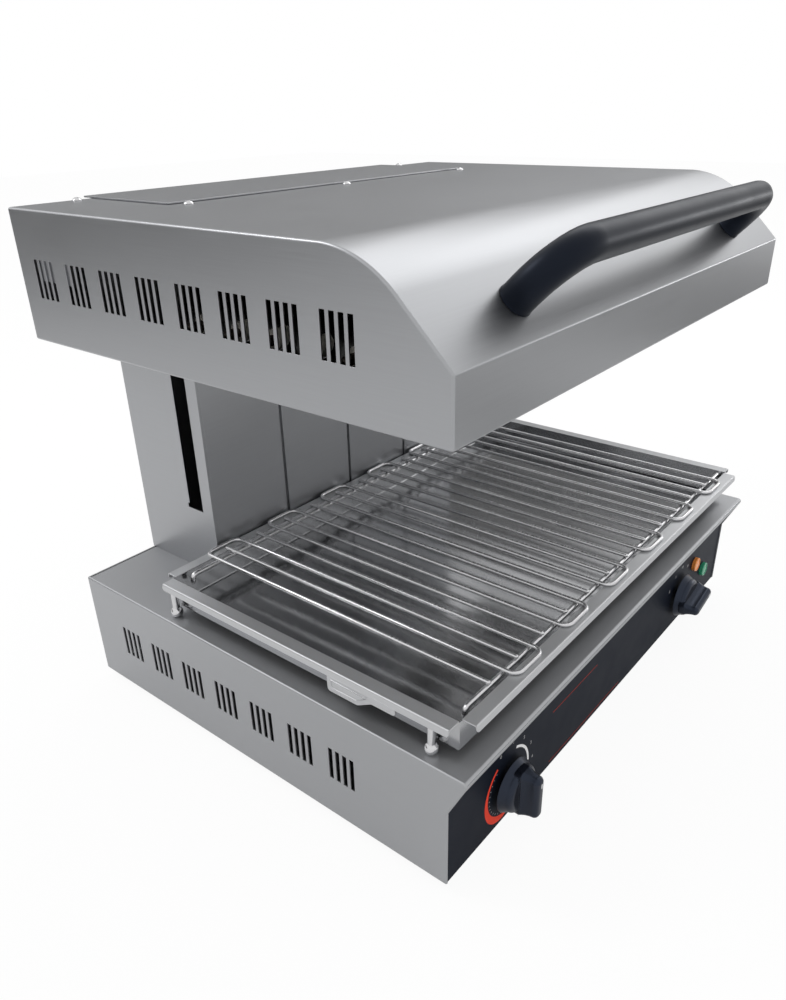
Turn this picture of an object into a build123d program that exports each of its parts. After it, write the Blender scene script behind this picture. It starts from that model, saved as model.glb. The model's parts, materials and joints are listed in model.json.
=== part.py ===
from build123d import *
import math
import os

# Salamander grill with a hood that slides up and down a rear column.
# Millimetres. X runs to the right, Y to the rear, Z up from the surface it stands on.
# Depths are written from the control panel's upright face and moved to the middle at the end.

# Sheet, clearances and cutting
SHEET = 1.5
THIN_SHEET = 1.0
FOLD_RADIUS = 2.0
FLANGE = 12.0
RUNNING_GAP = 0.05
SEAT_GAP = 0.3
HOLE_GAP = 0.3
OVERRUN = 6.0

# Base
WIDTH = 600.0
BASE_DEPTH = 474.0
BASE_HEIGHT = 120.0
FOOT_HEIGHT = 10.0
PANEL_UPRIGHT = 80.0
NOSE_REACH = 19.0
NOSE_RADIUS = 3.5
NOSE_LIP = 7.0
FRONT_STRIP = 3.5

# Slots in the side sheets, counted from the rear
SLOTS_PER_GROUP = 4
BASE_SLOT_GROUPS = 7
BASE_SLOT_WIDTH = 4.6
BASE_SLOT_HEIGHT = 34.0
BASE_SLOT_RISE = 43.0
BASE_SLOT_PITCH = 8.1
BASE_SLOT_INSET = 54.0
BASE_SLOT_FRONT_INSET = 98.7
HOOD_SLOT_GROUPS = 8
HOOD_SLOT_WIDTH = 4.8
HOOD_SLOT_HEIGHT = 33.0
HOOD_SLOT_RISE = 39.8
HOOD_SLOT_PITCH = 8.0
HOOD_SLOT_INSET = 27.6
HOOD_SLOT_FRONT_INSET = 77.3

# Bottom plate, feet and rear panel
VENT_WIDTH = 5.0
VENT_LENGTH = 70.0
VENT_PITCH = 14.0
VENT_COUNT = 9
FOOT_RADIUS = 17.0
FOOT_TOP_RADIUS = 14.0
FOOT_INSET = 52.0
FOOT_SCREW_RADIUS = 2.5
FOOT_SCREW_REACH = 6.0
FOOT_HEAD_RADIUS = 4.5
FOOT_HEAD_DEPTH = 3.0

# Column behind the grill
COLUMN_SIDE = 92.0
COLUMN_SHIFT = -6.0
COLUMN_DEPTH = 118.0
SPLASH_DEPTH = 3.0
HEM = 3.5
SEAM_GAP = 4.0
SPLASH_PANELS = 4
ARM_SLOT_FRONT = 15.7
ARM_SLOT_WIDTH = 21.0
ARM_SLOT_TOP_GAP = 4.0
ARM_SLOT_LOW_GAP = 6.2
SLOT_NOTCH_WIDTH = 2.5
SLOT_NOTCH_HEIGHT = 5.0
DECK_OPENING_MARGIN = 18.0
CAP_OVERHANG = 7.0

# Hood
HOOD_RISE = 377.5
HOOD_HEIGHT = 113.5
HOOD_FRONT = -1.0
HOOD_REAR_GAP = 8.0
FACE_HEIGHT = 48.0
SLOPE_ANGLE = 44.2
CURVE_RADIUS = 89.0
COLUMN_GAP = 4.0
HOOD_TRAVEL = 185.0
TOP_FLANGE = 24.0
TOP_SCREW_SIDE = 8.0
TOP_SCREW_SETBACK = 12.0
REAR_SCREW_OUT = 20.0
REAR_SCREW_INSET = 8.0
SCREW_RADIUS = 2.0
SCREW_LENGTH = 7.0
DOME_RADIUS = 4.8
DOME_HEIGHT = 2.8

# Heating chamber in the hood
CHAMBER_SIDE = 45.0
CHAMBER_FRONT = 30.0
CHAMBER_REAR_GAP = 26.0
CHAMBER_HEIGHT = 48.0
CHAMBER_TAPER = 25.0
CHAMBER_FLANGE = 10.0
GUARD_LEDGE = 14.0
GUARD_FRAME_RADIUS = 2.5
GUARD_WIRE_RADIUS = 1.6
GUARD_WIRES = 15
GUARD_CORNER = 12.0
ELEMENT_RADIUS = 4.0
ELEMENT_COUNT = 3
ELEMENT_LEG_GAP = 44.0
ELEMENT_BEND = 18.0
ELEMENT_WALL_GAP = 42.0
ELEMENT_RISE = 25.0
ELEMENT_END_GAP = 22.0
ELEMENT_TAIL = 24.0
BUSH_RADIUS = 8.0
BUSH_LENGTH = 20.0
SUPPORT_COUNT = 2
SUPPORT_INSET = 135.0
INSULATION_THICKNESS = 22.0
INSULATION_MARGIN = 8.0

# Handle, a bent tube square to the hood's slope
HANDLE_RADIUS = 12.75
HANDLE_SIDE = 100.0
HANDLE_STANDOFF = 47.5
HANDLE_BEND = 36.0
HANDLE_UP_SLOPE = 30.5
HANDLE_FLARE = 1.75
HANDLE_FLARE_HEIGHT = 5.0
HANDLE_BOLT_RADIUS = 4.0
HANDLE_BOLT_DEPTH = 16.0
BOLT_HEAD_RADIUS = 6.5
BOLT_HEAD_HEIGHT = 5.0
WASHER_RADIUS = 9.0
WASHER_THICKNESS = 1.6

# Lift gear in the column
BEAM_THICKNESS = 16.0
BEAM_HEIGHT = 50.0
BEAM_WALL = 2.0
BEAM_LIFT = 6.0
HANGER_LEG = 3.0
HANGER_INSET = 50.0
HANGER_FRONT_STEP = 11.0
HANGER_DEPTH = 47.0
HANGER_SHORT_DROP = 57.0
CARRIAGE_PLATE = 4.0
CARRIAGE_HEIGHT = 80.0
CARRIAGE_SIDE = 36.0
BUSH_BLOCK = 30.0
GUIDE_SIDE = 58.0
GUIDE_RADIUS = 6.0
GUIDE_BUSH_RADIUS = 10.0
GUIDE_BUSH_LENGTH = 24.0
BRACKET_SHEET = 3.0
BRACKET_FLANGE = 20.0
LOWER_BRACKET_RISE = 5.0
UPPER_BRACKET_DROP = 16.0
SPRING_SIDE = 108.0
SPRING_TUBE_RADIUS = 9.0
SPRING_BORE_RADIUS = 7.0
SPRING_ROD_RADIUS = 4.0
SPRING_END_WALL = 6.0
SPRING_SPARE_STROKE = 17.0
SPRING_SETBACK = 30.0
SPRING_PIN_RADIUS = 4.0
SPRING_PIN_RISE = 22.0
SPRING_EYE_RADIUS = 8.0
SPRING_EYE_WIDTH = 10.0
SPRING_EYE_OVERLAP = 2.0
PISTON_HEIGHT = 8.0
LUG_THICKNESS = 5.0
LUG_WIDTH = 18.0
NUT_RADIUS = 6.5
NUT_HEIGHT = 5.0

# Controls
KNOB_RISE = 39.5
POWER_KNOB_SIDE = 92.5
TIMER_KNOB_SIDE = 129.0
TIMER_TURN = -77.0
SKIRT_RADIUS = 26.0
SKIRT_TOP_RADIUS = 22.5
SKIRT_GAP = 3.0
SKIRT_EDGE = 3.5
SKIRT_DEPTH = 12.0
GRIP_BASE_LENGTH = 49.0
GRIP_BASE_WIDTH = 18.0
GRIP_TOP_LENGTH = 45.0
GRIP_TOP_WIDTH = 12.0
GRIP_SINK = 4.0
KNOB_FRONT = 31.0
KNOB_EDGE_RADIUS = 1.8
KNOB_WALL = 2.5
KNOB_HUB_RADIUS = 7.0
SHAFT_RADIUS = 3.0
SHAFT_FLAT = 0.6
SHAFT_IN_KNOB = 17.0
SHAFT_IN_CONTROL = 14.0
CONTROL_BUSH_RADIUS = 5.0
CONTROL_BUSH_LENGTH = 4.0
CONTROL_WIDTH = 46.0
CONTROL_HEIGHT = 40.0
CONTROL_DEPTH = 42.0
CONTROL_TABS = 5
TAB_WIDTH = 6.3
TAB_THICKNESS = 0.8
TAB_LENGTH = 9.0
AMBER_SIDE = 85.0
AMBER_RISE = 60.0
GREEN_SIDE = 52.0
GREEN_RISE = 38.0
LENS_RADIUS = 8.5
LENS_PROUD = 3.0
LENS_DOME_EDGE = 1.2
LAMP_BODY_RADIUS = 6.0
LAMP_BODY_LENGTH = 24.0
TERMINAL_WIDTH = 62.0
TERMINAL_DEPTH = 28.0
TERMINAL_HEIGHT = 22.0
TERMINAL_X = -6.0
TERMINAL_SETBACK = 70.0
TERMINAL_WAYS = 4
TERMINAL_SCREW_RADIUS = 3.5
TERMINAL_SCREW_DEPTH = 6.0
GLAND_SIDE = 100.0
GLAND_RISE = 45.0
GLAND_BORE_RADIUS = 5.0
GLAND_THREAD_RADIUS = 10.0
GLAND_BODY_RADIUS = 12.5
GLAND_BODY_LENGTH = 8.0
GLAND_CAP_RADIUS = 11.0
GLAND_CAP_LENGTH = 14.0
GLAND_TAIL = 9.0
GLAND_NUT_THICKNESS = 5.0

# Drip pan and its legs
PAN_SIDE = 19.0
PAN_FRONT = 3.5
PAN_REAR_GAP = 14.0
PAN_RIM_RISE = 37.0
PAN_HEIGHT = 28.5
RIM_WIDTH = 13.3
REAR_RIM_WIDTH = 12.5
LIP_HEIGHT = 6.5
LIP_LEAN = 1.0
END_RIM_TRIM = 3.0
PAN_LEG_RADIUS = 3.5
PAN_LEG_OUT = 7.0
PAN_LEG_INSET_FRONT = 20.5
PAN_LEG_INSET_REAR = 7.5
PAN_BALL_RADIUS = 6.0
PAN_BALL_FLAT = 0.8
GRIP_TAB_REAR = 125.0
GRIP_TAB_LENGTH = 47.5
GRIP_TAB_DROP = 14.5
GRIP_TAB_SLOPE = 15.0
GRIP_TAIL_LENGTH = 24.0
GRIP_TAIL_DROP = 6.0
GRIP_CORNER = 3.0

# Wire rack
RACK_WIRES = 24
RACK_SIDE = 41.8
RACK_WIRE_RADIUS = 2.0
RACK_SHIFT = 7.0
RACK_BEND = 9.0
RACK_LOOP_OUT_REAR = 10.0
RACK_LOOP_OUT_FRONT = 7.0
RACK_END_OUT_REAR = 3.5
RACK_END_IN_FRONT = 4.5
RACK_BAR_RADIUS = 2.5
RACK_BAR_OUT = 34.0
RACK_BAR_INSET = 7.0

# Places that follow from the sizes above
HALF_WIDTH = WIDTH / 2
INSIDE_HALF = HALF_WIDTH - SHEET
DECK_Z = FOOT_HEIGHT + BASE_HEIGHT
HOOD_Z = FOOT_HEIGHT + HOOD_RISE
HOOD_TOP = HOOD_Z + HOOD_HEIGHT
FLOOR_TOP = HOOD_Z + 2 * SHEET
COLUMN_WIDTH = WIDTH - 2 * COLUMN_SIDE
COLUMN_HALF = COLUMN_WIDTH / 2
COLUMN_TOP = HOOD_TOP + SEAT_GAP
COLUMN_REAR = BASE_DEPTH
COLUMN_FRONT = COLUMN_REAR - COLUMN_DEPTH
HOOD_REAR = BASE_DEPTH - HOOD_REAR_GAP
NOTCH_HALF = COLUMN_HALF + COLUMN_GAP
NOTCH_FRONT = COLUMN_FRONT - COLUMN_GAP
BASE_SLOT_SPAN = BASE_DEPTH - BASE_SLOT_INSET - BASE_SLOT_FRONT_INSET
HOOD_SLOT_SPAN = HOOD_REAR - HOOD_FRONT - HOOD_SLOT_INSET - HOOD_SLOT_FRONT_INSET
GROUP_GAPS = SLOTS_PER_GROUP - 1
BASE_GROUP_PITCH = (BASE_SLOT_SPAN - GROUP_GAPS * BASE_SLOT_PITCH) / (BASE_SLOT_GROUPS - 1)
HOOD_GROUP_PITCH = (HOOD_SLOT_SPAN - GROUP_GAPS * HOOD_SLOT_PITCH) / (HOOD_SLOT_GROUPS - 1)
CHAMBER_WIDTH = WIDTH - 2 * CHAMBER_SIDE
CHAMBER_DEPTH = NOTCH_FRONT - CHAMBER_REAR_GAP - CHAMBER_FRONT
ELEMENT_SPAN = CHAMBER_DEPTH - 2 * ELEMENT_WALL_GAP - ELEMENT_LEG_GAP
ELEMENT_PITCH = ELEMENT_SPAN / (ELEMENT_COUNT - 1)
SLOT_FRONT = COLUMN_FRONT + ARM_SLOT_FRONT
BEAM_FRONT = SLOT_FRONT + (ARM_SLOT_WIDTH - BEAM_THICKNESS) / 2
BEAM_REAR = BEAM_FRONT + BEAM_THICKNESS
BEAM_Z = HOOD_Z + BEAM_LIFT
BEAM_TOP = BEAM_Z + BEAM_HEIGHT
CARRIAGE_REAR = BEAM_REAR + CARRIAGE_PLATE
GUIDE_Y = CARRIAGE_REAR + BUSH_BLOCK / 2
SPRING_Y = GUIDE_Y + SPRING_SETBACK
SPRING_PIN_Z = FOOT_HEIGHT + SHEET + SPRING_PIN_RISE
SPRING_TUBE_Z = SPRING_PIN_Z + SPRING_EYE_RADIUS - SPRING_EYE_OVERLAP
SPRING_STROKE = HOOD_TRAVEL + SPRING_SPARE_STROKE
SPRING_TUBE_TOP = SPRING_TUBE_Z + SPRING_STROKE + PISTON_HEIGHT + 2 * SPRING_END_WALL
LUG_TOP = BEAM_Z + CARRIAGE_HEIGHT
GUIDE_LOW = DECK_Z + LOWER_BRACKET_RISE
GUIDE_HIGH = COLUMN_TOP - UPPER_BRACKET_DROP
KNOB_Z = FOOT_HEIGHT + KNOB_RISE
POWER_KNOB_X = POWER_KNOB_SIDE - HALF_WIDTH
TIMER_KNOB_X = HALF_WIDTH - TIMER_KNOB_SIDE
AMBER_X = HALF_WIDTH - AMBER_SIDE
GREEN_X = HALF_WIDTH - GREEN_SIDE
GLAND_X = HALF_WIDTH - GLAND_SIDE
PANEL_INNER = 2 * SHEET
RIM_Z = DECK_Z + PAN_RIM_RISE
PAN_INNER_WIDTH = WIDTH - 2 * PAN_SIDE
PAN_REAR = COLUMN_FRONT - PAN_REAR_GAP
PAN_INNER_HALF = PAN_INNER_WIDTH / 2
PAN_OUTER_HALF = PAN_INNER_HALF + THIN_SHEET
RACK_WIRE_PITCH = (PAN_INNER_WIDTH - 2 * RACK_SIDE) / (RACK_WIRES - 1)
GLAND_END = BASE_DEPTH + GLAND_BODY_LENGTH + GLAND_CAP_LENGTH
MIDDLE_Y = (GLAND_END - KNOB_FRONT) / 2

LOW_FACE = (Align.CENTER, Align.CENTER, Align.MIN)


def block(x, y, z):
    """A box between the low and high values of each axis."""
    spans = (x, y, z)
    size = [high - low for low, high in spans]
    centre = [(high + low) / 2 for low, high in spans]
    return Pos(*centre) * Box(*size)


def rod(start, end, radius):
    """A round bar from one point to another."""
    run = Vector(*end) - Vector(*start)
    plane = Plane(origin=start, z_dir=run)
    return plane * Cylinder(radius, run.length, align=LOW_FACE)


def bent_rod(points, bend, radius):
    """A round bar along straight runs joined by bends."""
    path = FilletPolyline(*points, radius=bend)
    start = Plane(origin=path @ 0, z_dir=path % 0)
    return sweep(start * Circle(radius), path=path)


def side_face(points):
    """A closed outline of (depth, height) points, seen from the side."""
    return make_face(Plane.YZ * Polyline(*points, close=True))


def across(face, half):
    """A side outline carried to both sides of the middle."""
    return extrude(face, amount=half, dir=(1, 0, 0), both=True)


def front_line(inset, top):
    """The base's front outline, upright and then leaning out, moved in by an inset."""
    lean = NOSE_REACH / (BASE_HEIGHT - PANEL_UPRIGHT)
    stretch = math.hypot(1, lean)
    bend_z = FOOT_HEIGHT + PANEL_UPRIGHT
    bend_shift = inset * (stretch - 1) / lean
    top_y = inset * stretch - lean * (top - bend_z)
    return [(inset, bend_z + bend_shift), (top_y, top)]


def side_slots(groups, per_group, first, low, size, pitch, group_pitch):
    """Upright slots through both side sheets, in groups counted from the rear."""
    width, height = size
    middle = low + height / 2
    slots = []
    for group in range(groups):
        for slot in range(per_group):
            y = first - group * group_pitch - slot * pitch
            slots.append(Pos(0, y, middle) * Box(WIDTH + OVERRUN, width, height))
    return slots


def base_shell():
    """Deck with a rounded nose, slotted sides and narrow strips beside the panel."""
    low = FOOT_HEIGHT
    outline = side_face(
        [(0, low)] + front_line(0, DECK_Z) + [(BASE_DEPTH, DECK_Z), (BASE_DEPTH, low)]
    )
    nose = outline.vertices().sort_by(Axis.Y)[0]
    body = across(fillet(nose, NOSE_RADIUS), HALF_WIDTH)
    long_edges = [
        edge for edge in body.edges().filter_by(GeomType.LINE)
        if abs(abs(edge.center().X) - HALF_WIDTH) < RUNNING_GAP
        and edge.center().Z > low + FOLD_RADIUS
        and edge.center().Y < BASE_DEPTH - FOLD_RADIUS
        and edge.length > NOSE_RADIUS
    ]
    body = fillet(long_edges, FOLD_RADIUS)
    inside_top = DECK_Z - SHEET
    inside = side_face(
        [(SHEET, low - OVERRUN)] + front_line(SHEET, inside_top)
        + [(BASE_DEPTH + OVERRUN, inside_top), (BASE_DEPTH + OVERRUN, low - OVERRUN)]
    )
    body -= across(inside, INSIDE_HALF)
    strip = HALF_WIDTH - FRONT_STRIP
    body -= block(
        (-strip, strip), (-NOSE_REACH - OVERRUN, PANEL_INNER), (low - OVERRUN, DECK_Z - NOSE_LIP)
    )
    flange_rear = BASE_DEPTH - SHEET
    for side in (-1, 1):
        outer = side * INSIDE_HALF
        inner = side * (INSIDE_HALF - FLANGE)
        body += block(
            sorted((inner, outer)), (flange_rear - SHEET, flange_rear), (low + FLANGE, inside_top)
        )
    body -= rear_screw_holes(rear_screw_places()[0])
    opening = COLUMN_HALF - DECK_OPENING_MARGIN
    body -= block(
        (COLUMN_SHIFT - opening, COLUMN_SHIFT + opening),
        (COLUMN_FRONT + DECK_OPENING_MARGIN / 2, COLUMN_REAR - DECK_OPENING_MARGIN),
        (inside_top - OVERRUN, DECK_Z + OVERRUN),
    )
    body -= side_slots(
        BASE_SLOT_GROUPS, SLOTS_PER_GROUP, BASE_DEPTH - BASE_SLOT_INSET, low + BASE_SLOT_RISE,
        (BASE_SLOT_WIDTH, BASE_SLOT_HEIGHT), BASE_SLOT_PITCH, BASE_GROUP_PITCH,
    )
    return body


def foot_places():
    """The four places of the feet, as (x, y)."""
    x = HALF_WIDTH - FOOT_INSET
    return [(side * x, y) for side in (-1, 1) for y in (FOOT_INSET, BASE_DEPTH - FOOT_INSET)]


def base_bottom_plate():
    """Tray that closes the base below, with flanges, vents and screw holes."""
    low = FOOT_HEIGHT
    front = PANEL_INNER
    rear = BASE_DEPTH - 2 * SHEET
    plate = block((-INSIDE_HALF, INSIDE_HALF), (front, rear), (low, low + SHEET))
    for side in (-1, 1):
        span = sorted((side * INSIDE_HALF, side * (INSIDE_HALF - SHEET)))
        plate += block(span, (front, rear), (low, low + FLANGE))
    middle_y = (front + rear) / 2
    for number in range(VENT_COUNT):
        y = middle_y + (number - (VENT_COUNT - 1) / 2) * VENT_PITCH
        for side in (-1, 1):
            place = Pos(side * (HALF_WIDTH - FOOT_INSET - VENT_LENGTH), y, low)
            plate -= place * Box(VENT_LENGTH, VENT_WIDTH, FLANGE)
    for x, y in foot_places():
        plate -= rod((x, y, low - OVERRUN), (x, y, low + OVERRUN), FOOT_SCREW_RADIUS + HOLE_GAP)
    return plate


def rubber_feet():
    """Four tapered rubber feet, hollow below for the screw head."""
    feet = []
    for x, y in foot_places():
        foot = Pos(x, y, 0) * Cone(FOOT_RADIUS, FOOT_TOP_RADIUS, FOOT_HEIGHT, align=LOW_FACE)
        recess = FOOT_HEIGHT - FOOT_HEAD_DEPTH
        foot -= rod((x, y, -OVERRUN), (x, y, recess), FOOT_HEAD_RADIUS + HOLE_GAP)
        foot -= rod((x, y, 0), (x, y, FOOT_HEIGHT + OVERRUN), FOOT_SCREW_RADIUS + HOLE_GAP)
        feet.append(foot)
    return feet


def foot_screws():
    """Screws that hold the feet, with a nut above the bottom plate."""
    screws = []
    plate_top = FOOT_HEIGHT + SHEET
    head_top = FOOT_HEIGHT - FOOT_HEAD_DEPTH
    for x, y in foot_places():
        screw = rod((x, y, head_top - FOOT_HEAD_DEPTH), (x, y, head_top), FOOT_HEAD_RADIUS)
        screw += rod((x, y, head_top), (x, y, plate_top + FOOT_SCREW_REACH), FOOT_SCREW_RADIUS)
        nut = Pos(x, y, plate_top) * extrude(
            RegularPolygon(FOOT_HEAD_RADIUS, 6), amount=FOOT_HEAD_DEPTH
        )
        screws.append(screw + nut)
    return screws


def base_rear_panel():
    """Sheet across the back of the base, with vents and the gland's hole."""
    rear = BASE_DEPTH
    panel = block(
        (-INSIDE_HALF, INSIDE_HALF), (rear - SHEET, rear), (FOOT_HEIGHT, DECK_Z - SHEET)
    )
    centre_z = FOOT_HEIGHT + BASE_HEIGHT / 2
    for number in range(VENT_COUNT):
        x = (number - (VENT_COUNT - 1) / 2) * VENT_PITCH
        panel -= Pos(x, rear, centre_z) * Box(VENT_WIDTH, FLANGE, BASE_SLOT_HEIGHT)
    gland_z = FOOT_HEIGHT + GLAND_RISE
    panel -= rod(
        (GLAND_X, rear - OVERRUN, gland_z), (GLAND_X, rear + OVERRUN, gland_z),
        GLAND_THREAD_RADIUS + HOLE_GAP,
    )
    return panel - rear_screw_holes(rear_screw_places()[0])


def rear_screw_places():
    """Places of the screws in the base's rear panel and in the column's rear cover."""
    base_x = INSIDE_HALF - FLANGE / 2
    base_z = [FOOT_HEIGHT + BASE_HEIGHT * share for share in (1 / 4, 3 / 4)]
    base = [(side * base_x, z) for side in (-1, 1) for z in base_z]
    column_x = COLUMN_HALF - SHEET - FLANGE / 2
    height = COLUMN_TOP - DECK_Z
    column_z = [DECK_Z + height * share for share in (1 / 8, 1 / 2, 7 / 8)]
    column = [(COLUMN_SHIFT + side * column_x, z) for side in (-1, 1) for z in column_z]
    return base, column


def rear_screw_holes(places):
    """Holes for screws that come in from the rear, at (x, z) places."""
    reach = SCREW_LENGTH + SHEET
    return [
        rod((x, BASE_DEPTH - reach, z), (x, BASE_DEPTH + OVERRUN, z), SCREW_RADIUS + HOLE_GAP)
        for x, z in places
    ]


def dome_screw():
    """A dome-headed screw, its head standing up from the origin."""
    ball_radius = (DOME_RADIUS**2 + DOME_HEIGHT**2) / (2 * DOME_HEIGHT)
    head = Pos(0, 0, DOME_HEIGHT - ball_radius) * Sphere(ball_radius)
    head &= Cylinder(ball_radius, DOME_HEIGHT, align=LOW_FACE)
    return head + Pos(0, 0, -SCREW_LENGTH) * Cylinder(
        SCREW_RADIUS, SCREW_LENGTH, align=LOW_FACE
    )


def rear_screws():
    """Dome-headed screws of the two rear covers."""
    screws = []
    for group in rear_screw_places():
        for x, z in group:
            plane = Plane(origin=(x, BASE_DEPTH, z), x_dir=(1, 0, 0), z_dir=(0, 1, 0))
            screws.append(plane * dome_screw())
    return screws


def control_panel():
    """Black front, upright below and leaning out to the nose, folded from one sheet."""
    top = DECK_Z - SHEET
    outer = [(SHEET, FOOT_HEIGHT)] + front_line(SHEET, top)
    inner = [(PANEL_INNER, FOOT_HEIGHT)] + front_line(PANEL_INNER, top)
    panel = across(side_face(outer + inner[::-1]), INSIDE_HALF)
    for x in (POWER_KNOB_X, TIMER_KNOB_X):
        panel -= rod((x, -OVERRUN, KNOB_Z), (x, OVERRUN, KNOB_Z), CONTROL_BUSH_RADIUS + HOLE_GAP)
    for x, rise in lamp_places():
        z = FOOT_HEIGHT + rise
        panel -= rod((x, -OVERRUN, z), (x, OVERRUN, z), LAMP_BODY_RADIUS + HOLE_GAP)
    return panel


def lamp_places():
    """The two lamps, amber first, as (x, rise above the base's lower edge)."""
    return [(AMBER_X, AMBER_RISE), (GREEN_X, GREEN_RISE)]


def lens(x, rise):
    """A round lamp lens with a softened front edge."""
    plane = Plane(
        origin=(x, SHEET, FOOT_HEIGHT + rise), x_dir=(1, 0, 0), z_dir=(0, -1, 0)
    )
    height = LENS_PROUD + SHEET
    cap = Cylinder(LENS_RADIUS, height, align=LOW_FACE)
    cap = fillet(cap.edges().sort_by(Axis.Z)[-1], LENS_DOME_EDGE)
    return plane * cap


def lamp_bodies():
    """Holders of the two lamps, behind the panel."""
    bodies = []
    for x, rise in lamp_places():
        z = FOOT_HEIGHT + rise
        body = rod((x, SHEET, z), (x, SHEET + LAMP_BODY_LENGTH, z), LAMP_BODY_RADIUS)
        nut_end = PANEL_INNER + THIN_SHEET + SHEET
        nut = rod((x, PANEL_INNER, z), (x, nut_end, z), LENS_RADIUS)
        bodies.append(body + nut)
    return bodies


def control_body(x):
    """The switch or timer behind a knob: box, threaded bush with the shaft's bore, tabs."""
    half = CONTROL_WIDTH / 2
    low = KNOB_Z - CONTROL_HEIGHT / 2
    rear = PANEL_INNER + CONTROL_DEPTH
    body = block((x - half, x + half), (PANEL_INNER, rear), (low, low + CONTROL_HEIGHT))
    bush_front = SHEET - CONTROL_BUSH_LENGTH / 2
    body += rod((x, bush_front, KNOB_Z), (x, PANEL_INNER, KNOB_Z), CONTROL_BUSH_RADIUS)
    deep = PANEL_INNER + SHAFT_IN_CONTROL + THIN_SHEET
    body -= rod((x, -OVERRUN, KNOB_Z), (x, deep, KNOB_Z), SHAFT_RADIUS + RUNNING_GAP)
    for number in range(CONTROL_TABS):
        share = (number + 1) / (CONTROL_TABS + 1)
        tab_x = x - half + share * CONTROL_WIDTH
        body += block(
            (tab_x - TAB_THICKNESS / 2, tab_x + TAB_THICKNESS / 2),
            (rear, rear + TAB_LENGTH),
            (KNOB_Z - TAB_WIDTH / 2, KNOB_Z + TAB_WIDTH / 2),
        )
    return body


def knob(x, turn):
    """Knob with a round skirt and a bar grip, hollow behind, with a bored hub."""
    plane = Plane(origin=(x, 0, KNOB_Z), x_dir=(1, 0, 0), z_dir=(0, -1, 0))
    skirt_top = SKIRT_GAP + SKIRT_DEPTH
    edge_top = SKIRT_GAP + SKIRT_EDGE
    skirt = Pos(0, 0, SKIRT_GAP) * Cylinder(SKIRT_RADIUS, SKIRT_EDGE, align=LOW_FACE)
    skirt += Pos(0, 0, edge_top) * Cone(
        SKIRT_RADIUS, SKIRT_TOP_RADIUS, SKIRT_DEPTH - SKIRT_EDGE, align=LOW_FACE
    )
    skirt = fillet(skirt.edges().sort_by(Axis.Z)[-1], KNOB_EDGE_RADIUS)
    grip = loft([
        Pos(0, 0, skirt_top - GRIP_SINK) * RectangleRounded(
            GRIP_BASE_WIDTH, GRIP_BASE_LENGTH, GRIP_BASE_WIDTH / 3
        ),
        Pos(0, 0, KNOB_FRONT) * RectangleRounded(
            GRIP_TOP_WIDTH, GRIP_TOP_LENGTH, GRIP_TOP_WIDTH / 3
        ),
    ])
    grip &= Cylinder(SKIRT_RADIUS, 2 * KNOB_FRONT)
    grip = fillet(grip.faces().sort_by(Axis.Z)[-1].edges(), KNOB_EDGE_RADIUS)
    hollow = Cylinder(
        SKIRT_TOP_RADIUS - KNOB_WALL, skirt_top - GRIP_SINK - SHEET, align=LOW_FACE
    )
    hub = Pos(0, 0, SKIRT_GAP) * Cylinder(KNOB_HUB_RADIUS, SKIRT_DEPTH, align=LOW_FACE)
    bore = Cylinder(
        SHAFT_RADIUS + RUNNING_GAP, SKIRT_GAP + SHAFT_IN_KNOB + THIN_SHEET, align=LOW_FACE
    )
    body = skirt + grip - hollow + hub - bore
    return plane * Rot(0, 0, turn) * body


def shaft(x, turn):
    """Control shaft with a flat, from inside the knob into the control."""
    front = -SKIRT_GAP - SHAFT_IN_KNOB
    rear = PANEL_INNER + SHAFT_IN_CONTROL
    body = rod((x, front, KNOB_Z), (x, rear, KNOB_Z), SHAFT_RADIUS)
    flat_low = SHAFT_RADIUS - SHAFT_FLAT
    flat = block((-SHAFT_RADIUS, SHAFT_RADIUS), (front, -SKIRT_GAP), (flat_low, SHAFT_RADIUS))
    return body - Pos(x, 0, KNOB_Z) * Rot(0, -turn, 0) * flat


def terminal_block():
    """Supply terminals on the bottom plate, with a screw well for each way."""
    low = FOOT_HEIGHT + SHEET
    front = BASE_DEPTH - TERMINAL_SETBACK
    half = TERMINAL_WIDTH / 2
    top = low + TERMINAL_HEIGHT
    body = block(
        (TERMINAL_X - half, TERMINAL_X + half), (front, front + TERMINAL_DEPTH), (low, top)
    )
    for number in range(TERMINAL_WAYS):
        x = TERMINAL_X - half + (number + 1 / 2) * TERMINAL_WIDTH / TERMINAL_WAYS
        for share in (1 / 4, 3 / 4):
            y = front + share * TERMINAL_DEPTH
            well = top - TERMINAL_SCREW_DEPTH
            body -= rod((x, y, well), (x, y, top + OVERRUN), TERMINAL_SCREW_RADIUS)
    return body


def cable_gland():
    """Gland for the supply cord, clamped through the rear panel with a nut inside."""
    z = FOOT_HEIGHT + GLAND_RISE
    rear = BASE_DEPTH
    inner_face = rear - SHEET
    body_end = rear + GLAND_BODY_LENGTH

    def ring(start, end, radius):
        return rod((GLAND_X, start, z), (GLAND_X, end, z), radius)

    plane = Plane(origin=(GLAND_X, rear, z), x_dir=(1, 0, 0), z_dir=(0, 1, 0))
    body = plane * extrude(RegularPolygon(GLAND_BODY_RADIUS, 6), amount=GLAND_BODY_LENGTH)
    body += ring(body_end, GLAND_END, GLAND_CAP_RADIUS)
    body += ring(inner_face - GLAND_TAIL, rear, GLAND_THREAD_RADIUS)
    nut_plane = Plane(
        origin=(GLAND_X, inner_face - GLAND_NUT_THICKNESS, z), x_dir=(1, 0, 0), z_dir=(0, 1, 0)
    )
    body += nut_plane * extrude(
        RegularPolygon(GLAND_BODY_RADIUS, 6), amount=GLAND_NUT_THICKNESS
    )
    body -= ring(inner_face - GLAND_TAIL - OVERRUN, GLAND_END + OVERRUN, GLAND_BORE_RADIUS)
    return body


def column_span(half):
    """Low and high x of something centred on the column."""
    return (COLUMN_SHIFT - half, COLUMN_SHIFT + half)


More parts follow.
